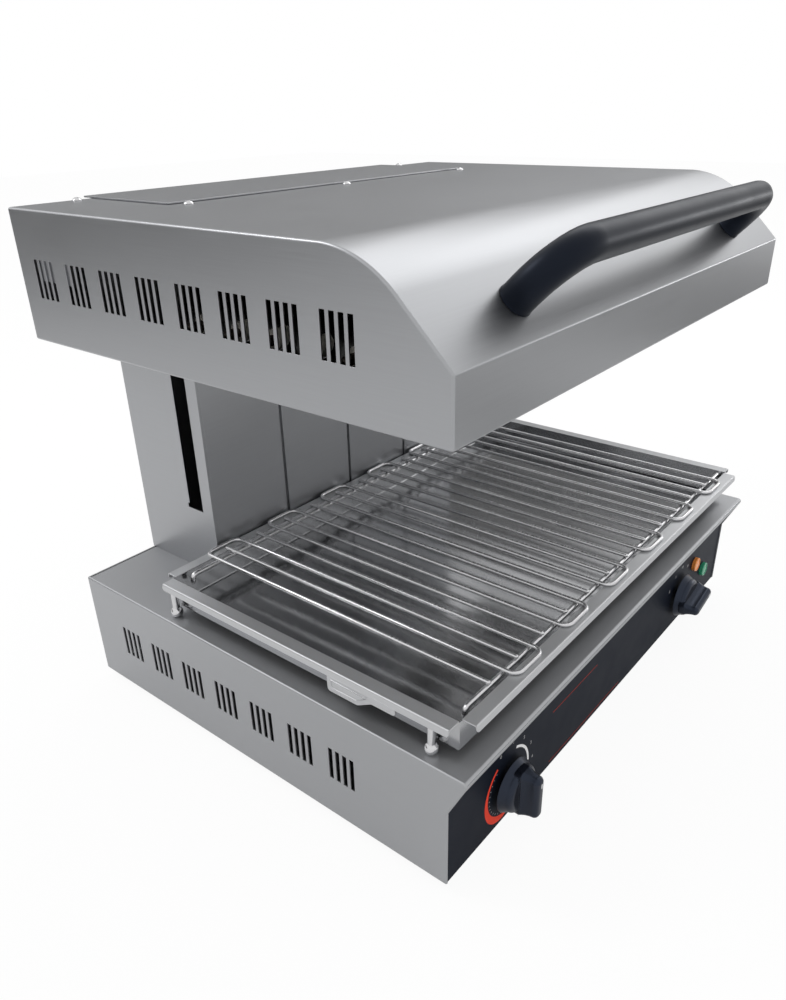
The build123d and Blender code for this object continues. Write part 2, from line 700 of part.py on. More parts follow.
def column_shell():
    """Column skin: slotted sides with hems, a recessed front wall, flanges at the rear."""
    shell = block(column_span(COLUMN_HALF), (COLUMN_FRONT, COLUMN_REAR), (DECK_Z, COLUMN_TOP))
    tall = (DECK_Z - OVERRUN, COLUMN_TOP + OVERRUN)
    wall_front = COLUMN_FRONT + SPLASH_DEPTH
    shell -= block(
        column_span(COLUMN_HALF - SHEET), (wall_front + SHEET, COLUMN_REAR + OVERRUN), tall
    )
    shell -= block(column_span(COLUMN_HALF - HEM), (COLUMN_FRONT - OVERRUN, wall_front), tall)
    flange_rear = COLUMN_REAR - SHEET
    for side in (-1, 1):
        outer = side * (COLUMN_HALF - SHEET)
        inner = side * (COLUMN_HALF - SHEET - FLANGE)
        span = sorted((COLUMN_SHIFT + inner, COLUMN_SHIFT + outer))
        shell += block(span, (flange_rear - SHEET, flange_rear), (DECK_Z, COLUMN_TOP))
    shell -= rear_screw_holes(rear_screw_places()[1])
    slot_low = BEAM_Z - HOOD_TRAVEL - ARM_SLOT_LOW_GAP
    slot_rear = SLOT_FRONT + ARM_SLOT_WIDTH
    through = column_span(COLUMN_HALF + OVERRUN)
    shell -= block(through, (SLOT_FRONT, slot_rear), (slot_low, BEAM_TOP + ARM_SLOT_TOP_GAP))
    shell -= block(
        through, (SLOT_FRONT, slot_rear + SLOT_NOTCH_WIDTH),
        (slot_low, slot_low + SLOT_NOTCH_HEIGHT),
    )
    return shell


def backsplash_panels():
    """Upright sheet trays side by side on the column's front, with dark seams between."""
    inside = COLUMN_WIDTH - 2 * HEM
    pitch = COLUMN_WIDTH / SPLASH_PANELS
    front = COLUMN_FRONT
    rear = COLUMN_FRONT + SPLASH_DEPTH
    low_x = COLUMN_SHIFT - inside / 2
    high_x = COLUMN_SHIFT + inside / 2
    panels = []
    for number in range(SPLASH_PANELS):
        left = COLUMN_SHIFT - COLUMN_HALF + number * pitch
        start = max(left + SEAM_GAP / 2, low_x)
        end = min(left + pitch - SEAM_GAP / 2, high_x)
        tray = block((start, end), (front, rear), (DECK_Z, COLUMN_TOP))
        tray -= block(
            (start + THIN_SHEET, end - THIN_SHEET), (front + THIN_SHEET, rear + OVERRUN),
            (DECK_Z + THIN_SHEET, COLUMN_TOP - THIN_SHEET),
        )
        panels.append(tray)
    return panels


def column_rear_cover():
    """Flat cover that closes the column at the rear, with louvres near the top."""
    rear = COLUMN_REAR
    cover = block(
        column_span(COLUMN_HALF - SHEET), (rear - SHEET, rear), (DECK_Z, COLUMN_TOP)
    )
    for number in range(VENT_COUNT):
        z = COLUMN_TOP - (number + 3) * VENT_PITCH
        cover -= Pos(COLUMN_SHIFT, rear, z) * Box(2 * VENT_LENGTH, FLANGE, VENT_WIDTH)
    return cover - rear_screw_holes(rear_screw_places()[1])


def column_cap():
    """Top plate of the column. It lies over the hood's top and stops the hood's rise."""
    cap = block(
        column_span(COLUMN_HALF + CAP_OVERHANG), (COLUMN_FRONT - CAP_OVERHANG, COLUMN_REAR),
        (COLUMN_TOP, COLUMN_TOP + SHEET),
    )
    return cap


def guide_places():
    """x of the two guide rods."""
    return column_span(COLUMN_HALF - GUIDE_SIDE)


def spring_places():
    """x of the two gas springs."""
    return column_span(COLUMN_HALF - SPRING_SIDE)


def guide_bracket(low, flange_up):
    """Cross plate inside the column that holds the guide rods."""
    front = COLUMN_FRONT + SPLASH_DEPTH + SHEET
    rear = COLUMN_REAR - 2 * SHEET
    half = COLUMN_HALF - SHEET
    bracket = block(column_span(half), (front, rear), (low, low + BRACKET_SHEET))
    flange = sorted((low, low + BRACKET_SHEET + flange_up))
    inner = half - BRACKET_SHEET
    for side in (-1, 1):
        span = sorted((COLUMN_SHIFT + side * inner, COLUMN_SHIFT + side * half))
        bracket += block(span, (BEAM_REAR + SLOT_NOTCH_WIDTH + OVERRUN, rear), flange)
    for x in guide_places():
        bracket -= rod((x, GUIDE_Y, low - OVERRUN), (x, GUIDE_Y, low + OVERRUN), GUIDE_RADIUS)
    for x in spring_places():
        bracket -= rod(
            (x, SPRING_Y, low - OVERRUN), (x, SPRING_Y, low + OVERRUN),
            SPRING_TUBE_RADIUS + 2 * HOLE_GAP,
        )
    return bracket


def guide_rods():
    """Two round rods on which the hood's carriage slides."""
    top = GUIDE_HIGH + BRACKET_SHEET
    return [rod((x, GUIDE_Y, GUIDE_LOW), (x, GUIDE_Y, top), GUIDE_RADIUS) for x in guide_places()]


def gas_spring_feet():
    """Fork brackets on the bottom plate, each with the pin of a gas spring."""
    low = FOOT_HEIGHT + SHEET
    gap = SPRING_EYE_WIDTH / 2 + HOLE_GAP
    feet = []
    for x in spring_places():
        foot = block(
            (x - gap - BRACKET_SHEET, x + gap + BRACKET_SHEET),
            (SPRING_Y - SPRING_EYE_RADIUS, SPRING_Y + SPRING_EYE_RADIUS),
            (low, SPRING_TUBE_Z - SEAT_GAP),
        )
        foot -= block(
            (x - gap, x + gap), (SPRING_Y - FLANGE, SPRING_Y + FLANGE),
            (low + BRACKET_SHEET, SPRING_TUBE_Z + OVERRUN),
        )
        reach = gap + 2 * BRACKET_SHEET
        foot += rod(
            (x - reach, SPRING_Y, SPRING_PIN_Z), (x + reach, SPRING_Y, SPRING_PIN_Z),
            SPRING_PIN_RADIUS,
        )
        feet.append(foot)
    return feet


def gas_spring_cylinders():
    """Closed tubes of the two gas springs, each with an eye below."""
    tubes = []
    for x in spring_places():
        tube = rod((x, SPRING_Y, SPRING_TUBE_Z), (x, SPRING_Y, SPRING_TUBE_TOP), SPRING_TUBE_RADIUS)
        tube -= rod(
            (x, SPRING_Y, SPRING_TUBE_Z + SPRING_END_WALL),
            (x, SPRING_Y, SPRING_TUBE_TOP - SPRING_END_WALL), SPRING_BORE_RADIUS,
        )
        tube -= rod(
            (x, SPRING_Y, SPRING_TUBE_Z + SPRING_END_WALL),
            (x, SPRING_Y, SPRING_TUBE_TOP + OVERRUN), SPRING_ROD_RADIUS + RUNNING_GAP,
        )
        half = SPRING_EYE_WIDTH / 2
        tube += rod(
            (x - half, SPRING_Y, SPRING_PIN_Z), (x + half, SPRING_Y, SPRING_PIN_Z),
            SPRING_EYE_RADIUS,
        )
        tube += block(
            (x - half, x + half), (SPRING_Y - SPRING_ROD_RADIUS, SPRING_Y + SPRING_ROD_RADIUS),
            (SPRING_PIN_Z, SPRING_TUBE_Z + SPRING_END_WALL / 2),
        )
        tube -= rod(
            (x - half - OVERRUN, SPRING_Y, SPRING_PIN_Z), (x + half + OVERRUN, SPRING_Y, SPRING_PIN_Z),
            SPRING_PIN_RADIUS + RUNNING_GAP,
        )
        tubes.append(tube)
    return tubes


def hood_outline(extra):
    """The hood seen from the side: upright face, slope, curve and flat top."""
    face_top = HOOD_Z + FACE_HEIGHT
    slope_run = (HOOD_TOP - face_top) / math.tan(math.radians(SLOPE_ANGLE))
    corner = (HOOD_FRONT + slope_run, HOOD_TOP)
    outline = side_face([
        (HOOD_FRONT, HOOD_Z - extra), (HOOD_FRONT, face_top), corner,
        (HOOD_REAR, HOOD_TOP), (HOOD_REAR, HOOD_Z - extra),
    ])
    bend = [
        vertex for vertex in outline.vertices()
        if abs(vertex.Y - corner[0]) < SHEET and abs(vertex.Z - corner[1]) < SHEET
    ]
    return fillet(bend, CURVE_RADIUS)


def hood_shell():
    """The hood's outer skin, open below, cut out at the rear round the column."""
    body = across(hood_outline(0), HALF_WIDTH)
    folds = [
        edge for edge in body.edges()
        if abs(abs(edge.center().X) - HALF_WIDTH) < RUNNING_GAP
        and edge.center().Z > HOOD_Z + FOLD_RADIUS
    ]
    body = fillet(folds, FOLD_RADIUS)
    hollow = offset(hood_outline(SHEET + OVERRUN), amount=-SHEET, kind=Kind.INTERSECTION)
    body -= across(hollow, INSIDE_HALF)
    flange = block(
        (-INSIDE_HALF, INSIDE_HALF), (HOOD_FRONT + SHEET, HOOD_REAR - SHEET),
        (HOOD_Z, HOOD_Z + SHEET),
    )
    flange -= block(
        (FLANGE - INSIDE_HALF, INSIDE_HALF - FLANGE),
        (HOOD_FRONT + SHEET + FLANGE, HOOD_REAR - SHEET - FLANGE),
        (HOOD_Z - OVERRUN, HOOD_Z + OVERRUN),
    )
    body += flange
    body -= block(
        column_span(NOTCH_HALF), (NOTCH_FRONT, HOOD_REAR + OVERRUN),
        (HOOD_Z - OVERRUN, HOOD_TOP + OVERRUN),
    )
    body -= side_slots(
        HOOD_SLOT_GROUPS, SLOTS_PER_GROUP, HOOD_REAR - HOOD_SLOT_INSET, HOOD_Z + HOOD_SLOT_RISE,
        (HOOD_SLOT_WIDTH, HOOD_SLOT_HEIGHT), HOOD_SLOT_PITCH, HOOD_GROUP_PITCH,
    )
    for x, y in top_screw_places():
        body -= rod((x, y, HOOD_TOP - OVERRUN), (x, y, HOOD_TOP + OVERRUN), SCREW_RADIUS + HOLE_GAP)
    for foot, along in handle_feet():
        body -= rod(foot - along * OVERRUN, foot + along * OVERRUN, HANDLE_BOLT_RADIUS + HOLE_GAP)
    return body


def top_screw_places():
    """The five screws in the hood's top, round the cut-out, as (x, y)."""
    front = NOTCH_FRONT - TOP_SCREW_SETBACK
    places = [(COLUMN_SHIFT + step * (COLUMN_HALF - TOP_SCREW_SIDE), front) for step in (-1, 0, 1)]
    rear = HOOD_REAR - REAR_SCREW_INSET
    return places + [(x, rear) for x in column_span(NOTCH_HALF + REAR_SCREW_OUT)]


def hood_screws():
    """Dome-headed screws in the hood's top."""
    return [Pos(x, y, HOOD_TOP) * dome_screw() for x, y in top_screw_places()]


def hood_liner():
    """U-shaped wall round the hood's cut-out, with a flange under the hood's top."""
    low = FLOOR_TOP
    top = HOOD_TOP - SHEET
    rear = HOOD_REAR - SHEET
    inner = NOTCH_HALF
    outer = NOTCH_HALF + SHEET
    front = NOTCH_FRONT
    liner = block(column_span(outer), (front - SHEET, rear), (low, top))
    liner += block(
        column_span(outer + TOP_FLANGE), (front - SHEET - TOP_FLANGE, rear), (top - SHEET, top)
    )
    liner -= block(column_span(inner), (front, rear + OVERRUN), (low - OVERRUN, top + OVERRUN))
    margin = ARM_SLOT_TOP_GAP
    liner -= block(
        column_span(outer + OVERRUN), (BEAM_FRONT - margin, BEAM_REAR + margin),
        (low - OVERRUN, BEAM_TOP + margin),
    )
    for x, y in top_screw_places():
        liner -= rod((x, y, top - OVERRUN), (x, y, top + OVERRUN), SCREW_RADIUS + HOLE_GAP)
    return liner


def hood_floor():
    """Sheet across the hood's underside, open below the heating chamber."""
    low = HOOD_Z + SHEET
    floor = block(
        (-INSIDE_HALF, INSIDE_HALF), (HOOD_FRONT + SHEET, HOOD_REAR - SHEET), (low, FLOOR_TOP)
    )
    half, front, rear = chamber_edges(THIN_SHEET + GUARD_LEDGE)
    floor -= block((-half, half), (front, rear), (low - OVERRUN, FLOOR_TOP + OVERRUN))
    floor -= block(
        column_span(NOTCH_HALF), (NOTCH_FRONT, HOOD_REAR + OVERRUN),
        (low - OVERRUN, FLOOR_TOP + OVERRUN),
    )
    return floor


def chamber_edges(inset):
    """Half width, front and rear of the heating chamber's foot, moved in by an inset."""
    half = CHAMBER_WIDTH / 2 - inset
    return half, CHAMBER_FRONT + inset, CHAMBER_FRONT + CHAMBER_DEPTH - inset


def chamber_body(inset, low):
    """A block that tapers as the heating chamber does, up to its top less the inset."""
    rise = CHAMBER_HEIGHT - inset
    taper = CHAMBER_TAPER * rise / CHAMBER_HEIGHT
    middle = CHAMBER_FRONT + CHAMBER_DEPTH / 2
    width = CHAMBER_WIDTH - 2 * inset
    depth = CHAMBER_DEPTH - 2 * inset
    return loft([
        Pos(0, middle, low) * Rectangle(width, depth),
        Pos(0, middle, low + rise) * Rectangle(width - 2 * taper, depth - 2 * taper),
    ])


def element_legs():
    """Depth of the two legs of each heating element."""
    middle = CHAMBER_FRONT + CHAMBER_DEPTH / 2
    legs = []
    for number in range(ELEMENT_COUNT):
        y = middle + (number - (ELEMENT_COUNT - 1) / 2) * ELEMENT_PITCH
        legs.append((y - ELEMENT_LEG_GAP / 2, y + ELEMENT_LEG_GAP / 2))
    return legs


def reflector():
    """Polished tray over the elements, with a foot flange and holes for their ends."""
    half, front, rear = chamber_edges(-CHAMBER_FLANGE)
    tray = block((-half, half), (front, rear), (FLOOR_TOP, FLOOR_TOP + THIN_SHEET))
    tray += chamber_body(0, FLOOR_TOP)
    tray -= chamber_body(THIN_SHEET, FLOOR_TOP)
    half, front, rear = chamber_edges(THIN_SHEET)
    z = FLOOR_TOP + ELEMENT_RISE
    for pair in element_legs():
        for y in pair:
            tray -= rod((-HALF_WIDTH, y, z), (CHAMBER_TAPER - half, y, z), BUSH_RADIUS + HOLE_GAP)
    return tray


def element_ends():
    """x of the elements' outer ends and of the middle of their bushes, at the left wall."""
    wall = -CHAMBER_WIDTH / 2 + CHAMBER_TAPER * ELEMENT_RISE / CHAMBER_HEIGHT
    return wall - ELEMENT_TAIL, wall


def heating_elements():
    """Hairpin heating tubes along the hood's width, both ends through the left wall."""
    start = element_ends()[0]
    turn = CHAMBER_WIDTH / 2 - CHAMBER_TAPER - ELEMENT_END_GAP
    z = FLOOR_TOP + ELEMENT_RISE
    return [
        bent_rod([(start, near, z), (turn, near, z), (turn, far, z), (start, far, z)],
                 ELEMENT_BEND, ELEMENT_RADIUS)
        for near, far in element_legs()
    ]


def element_bushes():
    """Ceramic bushes that carry the elements' ends through the reflector's wall."""
    wall = element_ends()[1]
    z = FLOOR_TOP + ELEMENT_RISE
    bushes = []
    for pair in element_legs():
        for y in pair:
            start = (wall - BUSH_LENGTH / 2, y, z)
            end = (wall + BUSH_LENGTH / 2, y, z)
            bush = rod(start, end, BUSH_RADIUS)
            bushes.append(bush - rod(start, end, ELEMENT_RADIUS + RUNNING_GAP))
    return bushes


def element_supports():
    """Drilled strips that hang from the reflector's top and carry the elements."""
    z = FLOOR_TOP + ELEMENT_RISE
    low = z - 2 * ELEMENT_RADIUS
    top = FLOOR_TOP + CHAMBER_HEIGHT - THIN_SHEET
    legs = element_legs()
    front = legs[0][0] - 2 * ELEMENT_RADIUS
    rear = legs[-1][1] + 2 * ELEMENT_RADIUS
    strips = []
    for number in range(SUPPORT_COUNT):
        x = (number / (SUPPORT_COUNT - 1) - 1 / 2) * (CHAMBER_WIDTH - 2 * SUPPORT_INSET)
        strip = block((x, x + SHEET), (front, rear), (low, top))
        for pair in legs:
            for y in pair:
                strip -= rod((x - OVERRUN, y, z), (x + OVERRUN, y, z), ELEMENT_RADIUS + RUNNING_GAP)
        strips.append(strip)
    return strips


def element_guard():
    """Wire guard under the elements: a round-cornered frame with wires across it."""
    inset = THIN_SHEET + GUARD_LEDGE / 2 + GUARD_FRAME_RADIUS / 2
    half, front, rear = chamber_edges(inset)
    z = FLOOR_TOP + GUARD_FRAME_RADIUS
    plane = Plane(origin=(0, (front + rear) / 2, z))
    loop = plane * RectangleRounded(2 * half, rear - front, GUARD_CORNER)
    path = loop.wire()
    start = Plane(origin=path @ 0, z_dir=path % 0)
    pieces = [sweep(start * Circle(GUARD_FRAME_RADIUS), path=path)]
    wire_z = z + GUARD_FRAME_RADIUS + GUARD_WIRE_RADIUS
    span = 2 * (half - GUARD_CORNER)
    for number in range(GUARD_WIRES):
        x = -span / 2 + span * number / (GUARD_WIRES - 1)
        pieces.append(rod((x, front, wire_z), (x, rear, wire_z), GUARD_WIRE_RADIUS))
    return pieces


def insulation_slab():
    """Mineral wool on top of the reflector."""
    inset = CHAMBER_TAPER + INSULATION_MARGIN
    half, front, rear = chamber_edges(inset)
    low = FLOOR_TOP + CHAMBER_HEIGHT
    return block((-half, half), (front, rear), (low, low + INSULATION_THICKNESS))


def handle_frame():
    """Middle of the handle's foot line on the slope, and the slope's outward direction."""
    slope = math.radians(SLOPE_ANGLE)
    foot = Vector(
        0, HOOD_FRONT + HANDLE_UP_SLOPE * math.cos(slope),
        HOOD_Z + FACE_HEIGHT + HANDLE_UP_SLOPE * math.sin(slope),
    )
    return foot, Vector(0, -math.sin(slope), math.cos(slope))


def handle_feet():
    """The handle's two foot centres on the slope, each with the outward direction."""
    foot, out = handle_frame()
    return [(foot + Vector(side * (HALF_WIDTH - HANDLE_SIDE), 0, 0), out) for side in (-1, 1)]


def handle():
    """Bent tube handle with slightly flared feet, bored for its bolts."""
    (left, out), (right, _) = handle_feet()
    rise = out * HANDLE_STANDOFF
    bar = bent_rod([left, left + rise, right + rise, right], HANDLE_BEND, HANDLE_RADIUS)
    for foot, along in handle_feet():
        plane = Plane(origin=foot, z_dir=along)
        bar += plane * Cone(
            HANDLE_RADIUS + HANDLE_FLARE, HANDLE_RADIUS, HANDLE_FLARE_HEIGHT, align=LOW_FACE
        )
        bar -= rod(foot - along * OVERRUN, foot + along * HANDLE_BOLT_DEPTH, HANDLE_BOLT_RADIUS)
    return bar


def handle_bolts():
    """Bolts with washers that hold the handle from inside the hood."""
    bolts = []
    for foot, along in handle_feet():
        inside = foot - along * SHEET
        washer_end = inside - along * WASHER_THICKNESS
        bolt = rod(inside, washer_end, WASHER_RADIUS)
        bolt += rod(washer_end, foot + along * (HANDLE_BOLT_DEPTH - THIN_SHEET), HANDLE_BOLT_RADIUS)
        head = Plane(origin=washer_end, z_dir=along * -1)
        bolt += head * extrude(RegularPolygon(BOLT_HEAD_RADIUS, 6), amount=BOLT_HEAD_HEIGHT)
        bolts.append(bolt)
    return bolts


def hood_hangers():
    """Pressed brackets between the lift beam's ends and the hood's sides and top."""
    top = HOOD_TOP - SHEET
    front = BEAM_FRONT + HANGER_FRONT_STEP
    rear = front + HANGER_DEPTH
    hangers = []
    for side in (-1, 1):
        wall = side * INSIDE_HALF
        leg = side * (INSIDE_HALF - HANGER_INSET)
        hanger = block(
            sorted((wall, wall - side * HANGER_LEG)), (front, rear), (top - HANGER_SHORT_DROP, top)
        )
        hanger += block(sorted((wall, leg)), (front, rear), (top - HANGER_LEG, top))
        hanger += block(
            sorted((leg, leg - side * HANGER_LEG)), (BEAM_FRONT, rear), (FLOOR_TOP, top)
        )
        hangers.append(hanger)
    return hangers


def lift_beam():
    """Box-section beam through both slots of the column, between the hangers."""
    half = INSIDE_HALF - HANGER_INSET - HANGER_LEG
    beam = block((-half, half), (BEAM_FRONT, BEAM_REAR), (BEAM_Z, BEAM_TOP))
    beam -= block(
        (-half - OVERRUN, half + OVERRUN), (BEAM_FRONT + BEAM_WALL, BEAM_REAR - BEAM_WALL),
        (BEAM_Z + BEAM_WALL, BEAM_TOP - BEAM_WALL),
    )
    return beam


def carriage_plate():
    """Plate behind the beam with a bored block at each guide and a lug at each spring."""
    top = BEAM_Z + CARRIAGE_HEIGHT
    plate = block(column_span(COLUMN_HALF - CARRIAGE_SIDE), (BEAM_REAR, CARRIAGE_REAR), (BEAM_Z, top))
    half = BUSH_BLOCK / 2
    for x in guide_places():
        plate += block(
            (x - half, x + half), (CARRIAGE_REAR, CARRIAGE_REAR + BUSH_BLOCK), (BEAM_Z, top)
        )
        plate -= rod((x, GUIDE_Y, BEAM_Z - OVERRUN), (x, GUIDE_Y, top + OVERRUN), GUIDE_BUSH_RADIUS)
    for x in spring_places():
        lug_rear = SPRING_Y + LUG_WIDTH / 2
        plate += block(
            (x - LUG_WIDTH / 2, x + LUG_WIDTH / 2), (CARRIAGE_REAR, lug_rear),
            (top - LUG_THICKNESS, top),
        )
        plate -= rod(
            (x, SPRING_Y, top - LUG_THICKNESS - OVERRUN), (x, SPRING_Y, top + OVERRUN),
            SPRING_ROD_RADIUS + RUNNING_GAP,
        )
    return plate


def guide_bushes():
    """Bronze bushes, two in each block, that run on the guide rods."""
    top = BEAM_Z + CARRIAGE_HEIGHT
    bushes = []
    for x in guide_places():
        for low in (BEAM_Z, top - GUIDE_BUSH_LENGTH):
            start = (x, GUIDE_Y, low)
            end = (x, GUIDE_Y, low + GUIDE_BUSH_LENGTH)
            bush = rod(start, end, GUIDE_BUSH_RADIUS)
            bushes.append(bush - rod(start, end, GUIDE_RADIUS + RUNNING_GAP))
    return bushes


def gas_spring_rods():
    """Rods of the gas springs with a piston below and nuts at the carriage's lug."""
    piston_top = SPRING_TUBE_TOP - SPRING_END_WALL - THIN_SHEET
    rods = []
    for x in spring_places():
        def along(start, end, radius):
            return rod((x, SPRING_Y, start), (x, SPRING_Y, end), radius)

        body = along(piston_top - PISTON_HEIGHT, piston_top, SPRING_BORE_RADIUS - RUNNING_GAP)
        body += along(piston_top, LUG_TOP + 2 * NUT_HEIGHT, SPRING_ROD_RADIUS)
        for low in (LUG_TOP - LUG_THICKNESS - NUT_HEIGHT, LUG_TOP):
            nut = extrude(RegularPolygon(NUT_RADIUS, 6), amount=NUT_HEIGHT)
            body += Pos(x, SPRING_Y, low) * nut
        rods.append(body)
    return rods


def rim(length, width, lean):
    """A rim and its lip along +Y, its inner edge on the Z axis at the rim's level."""
    points = [
        (0, 0), (width, 0), (width + lean, -LIP_HEIGHT),
        (width + lean - THIN_SHEET, -LIP_HEIGHT), (width - THIN_SHEET, -THIN_SHEET),
        (0, -THIN_SHEET),
    ]
    face = make_face(Plane.XZ * Polyline(*points, close=True))
    return extrude(face, amount=length / 2, dir=(0, 1, 0), both=True)


def drip_pan():
    """Sheet pan with turned-out rims, open at the corners, and finger grips at the sides."""
    floor = RIM_Z - PAN_HEIGHT
    outer = THIN_SHEET
    pan = block(
        (-PAN_OUTER_HALF, PAN_OUTER_HALF), (PAN_FRONT - outer, PAN_REAR + outer),
        (floor - THIN_SHEET, RIM_Z),
    )
    pan -= block(
        (-PAN_INNER_HALF, PAN_INNER_HALF), (PAN_FRONT, PAN_REAR), (floor, RIM_Z + OVERRUN)
    )
    middle = (PAN_FRONT + PAN_REAR) / 2
    depth = PAN_REAR - PAN_FRONT
    side_rim = Pos(PAN_INNER_HALF, middle, RIM_Z) * rim(depth, RIM_WIDTH, LIP_LEAN)
    side_rim += grip_tab()
    pan += side_rim
    pan += mirror(side_rim, Plane.YZ)
    end_length = PAN_INNER_WIDTH - 2 * END_RIM_TRIM
    pan += Pos(0, PAN_REAR, RIM_Z) * Rot(0, 0, 90) * rim(end_length, REAR_RIM_WIDTH, LIP_LEAN / 2)
    pan += Pos(0, PAN_FRONT, RIM_Z) * Rot(0, 0, -90) * rim(end_length, RIM_WIDTH, LIP_LEAN)
    return pan


def grip_tab():
    """Finger grip below the right rim's lip."""
    top = RIM_Z - LIP_HEIGHT
    low = top - GRIP_TAB_DROP
    front = GRIP_TAB_REAR - GRIP_TAB_LENGTH
    points = [
        (GRIP_TAB_REAR, top + THIN_SHEET), (GRIP_TAB_REAR, low),
        (front + GRIP_TAB_SLOPE, low), (front, top - GRIP_TAIL_DROP),
        (front - GRIP_TAIL_LENGTH, top - GRIP_TAIL_DROP),
        (front - GRIP_TAIL_LENGTH, top + THIN_SHEET),
    ]
    face = side_face(points)
    corners = face.vertices().filter_by(lambda vertex: vertex.Z < top)
    face = fillet(corners, GRIP_CORNER)
    tab = extrude(face, amount=THIN_SHEET, dir=(1, 0, 0))
    return Pos(PAN_INNER_HALF + RIM_WIDTH + LIP_LEAN - THIN_SHEET, 0, 0) * tab


def pan_legs():
    """Four short pins under the side rims, each with a ball foot on the deck."""
    legs = []
    x = PAN_INNER_HALF + PAN_LEG_OUT
    for side in (-1, 1):
        for y in (PAN_FRONT + PAN_LEG_INSET_FRONT, PAN_REAR - PAN_LEG_INSET_REAR):
            top = RIM_Z - THIN_SHEET
            ball_z = DECK_Z + PAN_BALL_RADIUS - PAN_BALL_FLAT
            leg = rod((side * x, y, ball_z), (side * x, y, top), PAN_LEG_RADIUS)
            leg += Pos(side * x, y, ball_z) * Sphere(PAN_BALL_RADIUS)
            legs.append(leg - Pos(side * x, y, DECK_Z - OVERRUN) * Box(
                2 * FLANGE, 2 * FLANGE, 2 * OVERRUN
            ))
    return legs


def wire_x(number):
    """x of a rack wire, counted from the left."""
    return RACK_SHIFT + (number - (RACK_WIRES - 1) / 2) * RACK_WIRE_PITCH


def rack_wires():
    """Hairpin wires: every other pair is looped at the rear, the rest at the front."""
    z = RIM_Z + RACK_WIRE_RADIUS
    wires = []
    for number in range(RACK_WIRES):
        if number % 4 not in (0, 1):
            continue
        left = wire_x(number)
        right = wire_x(number + 2)
        if number % 4 == 0:
            start, loop = PAN_FRONT + RACK_END_IN_FRONT, PAN_REAR + RACK_LOOP_OUT_REAR
        else:
            start, loop = PAN_REAR + RACK_END_OUT_REAR, PAN_FRONT - RACK_LOOP_OUT_FRONT
        points = [(left, start, z), (left, loop, z), (right, loop, z), (right, start, z)]
        wires.append(bent_rod(points, RACK_BEND, RACK_WIRE_RADIUS))
    return wires


def rack_cross_bars():
    """Two bars under the wires that keep the rack between the pan's walls."""
    z = RIM_Z - RACK_BAR_RADIUS
    left = wire_x(0) - RACK_BAR_OUT
    right = wire_x(RACK_WIRES - 1) + RACK_BAR_OUT
    return [
        rod((left, y, z), (right, y, z), RACK_BAR_RADIUS)
        for y in (PAN_FRONT + RACK_BAR_INSET, PAN_REAR - RACK_BAR_INSET)
    ]


PIECES = {
    "base_shell": base_shell,
    "base_bottom_plate": base_bottom_plate,
    "rubber_feet": rubber_feet,
    "foot_screws": foot_screws,
    "base_rear_panel": base_rear_panel,
    "rear_screws": rear_screws,
    "control_panel": control_panel,
    "amber_lens": lambda: lens(AMBER_X, AMBER_RISE),
    "green_lens": lambda: lens(GREEN_X, GREEN_RISE),
    "lamp_bodies": lamp_bodies,
    "power_control": lambda: control_body(POWER_KNOB_X),
    "timer": lambda: control_body(TIMER_KNOB_X),
    "power_knob": lambda: knob(POWER_KNOB_X, 0),
    "power_shaft": lambda: shaft(POWER_KNOB_X, 0),
    "timer_knob": lambda: knob(TIMER_KNOB_X, TIMER_TURN),
    "timer_shaft": lambda: shaft(TIMER_KNOB_X, TIMER_TURN),
    "terminal_block": terminal_block,
    "cable_gland": cable_gland,
    "column_shell": column_shell,
    "backsplash_panels": backsplash_panels,
    "column_rear_cover": column_rear_cover,
    "column_cap": column_cap,
    "lower_guide_bracket": lambda: guide_bracket(GUIDE_LOW, BRACKET_FLANGE),
    "upper_guide_bracket": lambda: guide_bracket(GUIDE_HIGH, -BRACKET_FLANGE),
    "guide_rods": guide_rods,
    "gas_spring_feet": gas_spring_feet,
    "gas_spring_cylinders": gas_spring_cylinders,
    "gas_spring_rods": gas_spring_rods,
    "hood_shell": hood_shell,
    "hood_screws": hood_screws,
    "hood_liner": hood_liner,
    "hood_floor": hood_floor,
    "reflector": reflector,
    "insulation_slab": insulation_slab,
    "heating_elements": heating_elements,
    "element_bushes": element_bushes,
    "element_supports": element_supports,
    "element_guard": element_guard,
    "handle": handle,
    "handle_bolts": handle_bolts,
    "hood_hangers": hood_hangers,
    "lift_beam": lift_beam,
    "carriage_plate": carriage_plate,
    "guide_bushes": guide_bushes,
    "drip_pan": drip_pan,
    "pan_legs": pan_legs,
    "rack_wires": rack_wires,
    "rack_cross_bars": rack_cross_bars,
}


def main():
    os.makedirs("parts", exist_ok=True)
    to_middle = Pos(0, -MIDDLE_Y, 0)
    for name, make in PIECES.items():
        made = make()
        solids = made if isinstance(made, list) else [made]
        placed = [to_middle * solid for solid in solids]
        shape = placed[0] if len(placed) == 1 else Compound(children=placed)
        export_step(shape, f"parts/{name}.step")


main()
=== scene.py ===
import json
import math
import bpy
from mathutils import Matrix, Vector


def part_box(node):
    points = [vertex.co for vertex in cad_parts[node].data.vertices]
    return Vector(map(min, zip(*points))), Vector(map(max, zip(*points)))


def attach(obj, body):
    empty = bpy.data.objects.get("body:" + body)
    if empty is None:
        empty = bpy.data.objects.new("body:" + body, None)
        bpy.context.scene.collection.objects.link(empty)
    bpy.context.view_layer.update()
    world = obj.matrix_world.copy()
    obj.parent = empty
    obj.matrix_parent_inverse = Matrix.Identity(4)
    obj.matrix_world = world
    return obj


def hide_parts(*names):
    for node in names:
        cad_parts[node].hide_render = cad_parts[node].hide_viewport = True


bl_info = {
    "name": "Salamander grill dressing",
    "version": (1, 0, 0),
    "blender": (4, 5, 0),
    "location": "3D View > Sidebar > Grill",
    "description": "Builds the fine shapes and finishes of a salamander grill round its fixed frame",
    "category": "Object",
}

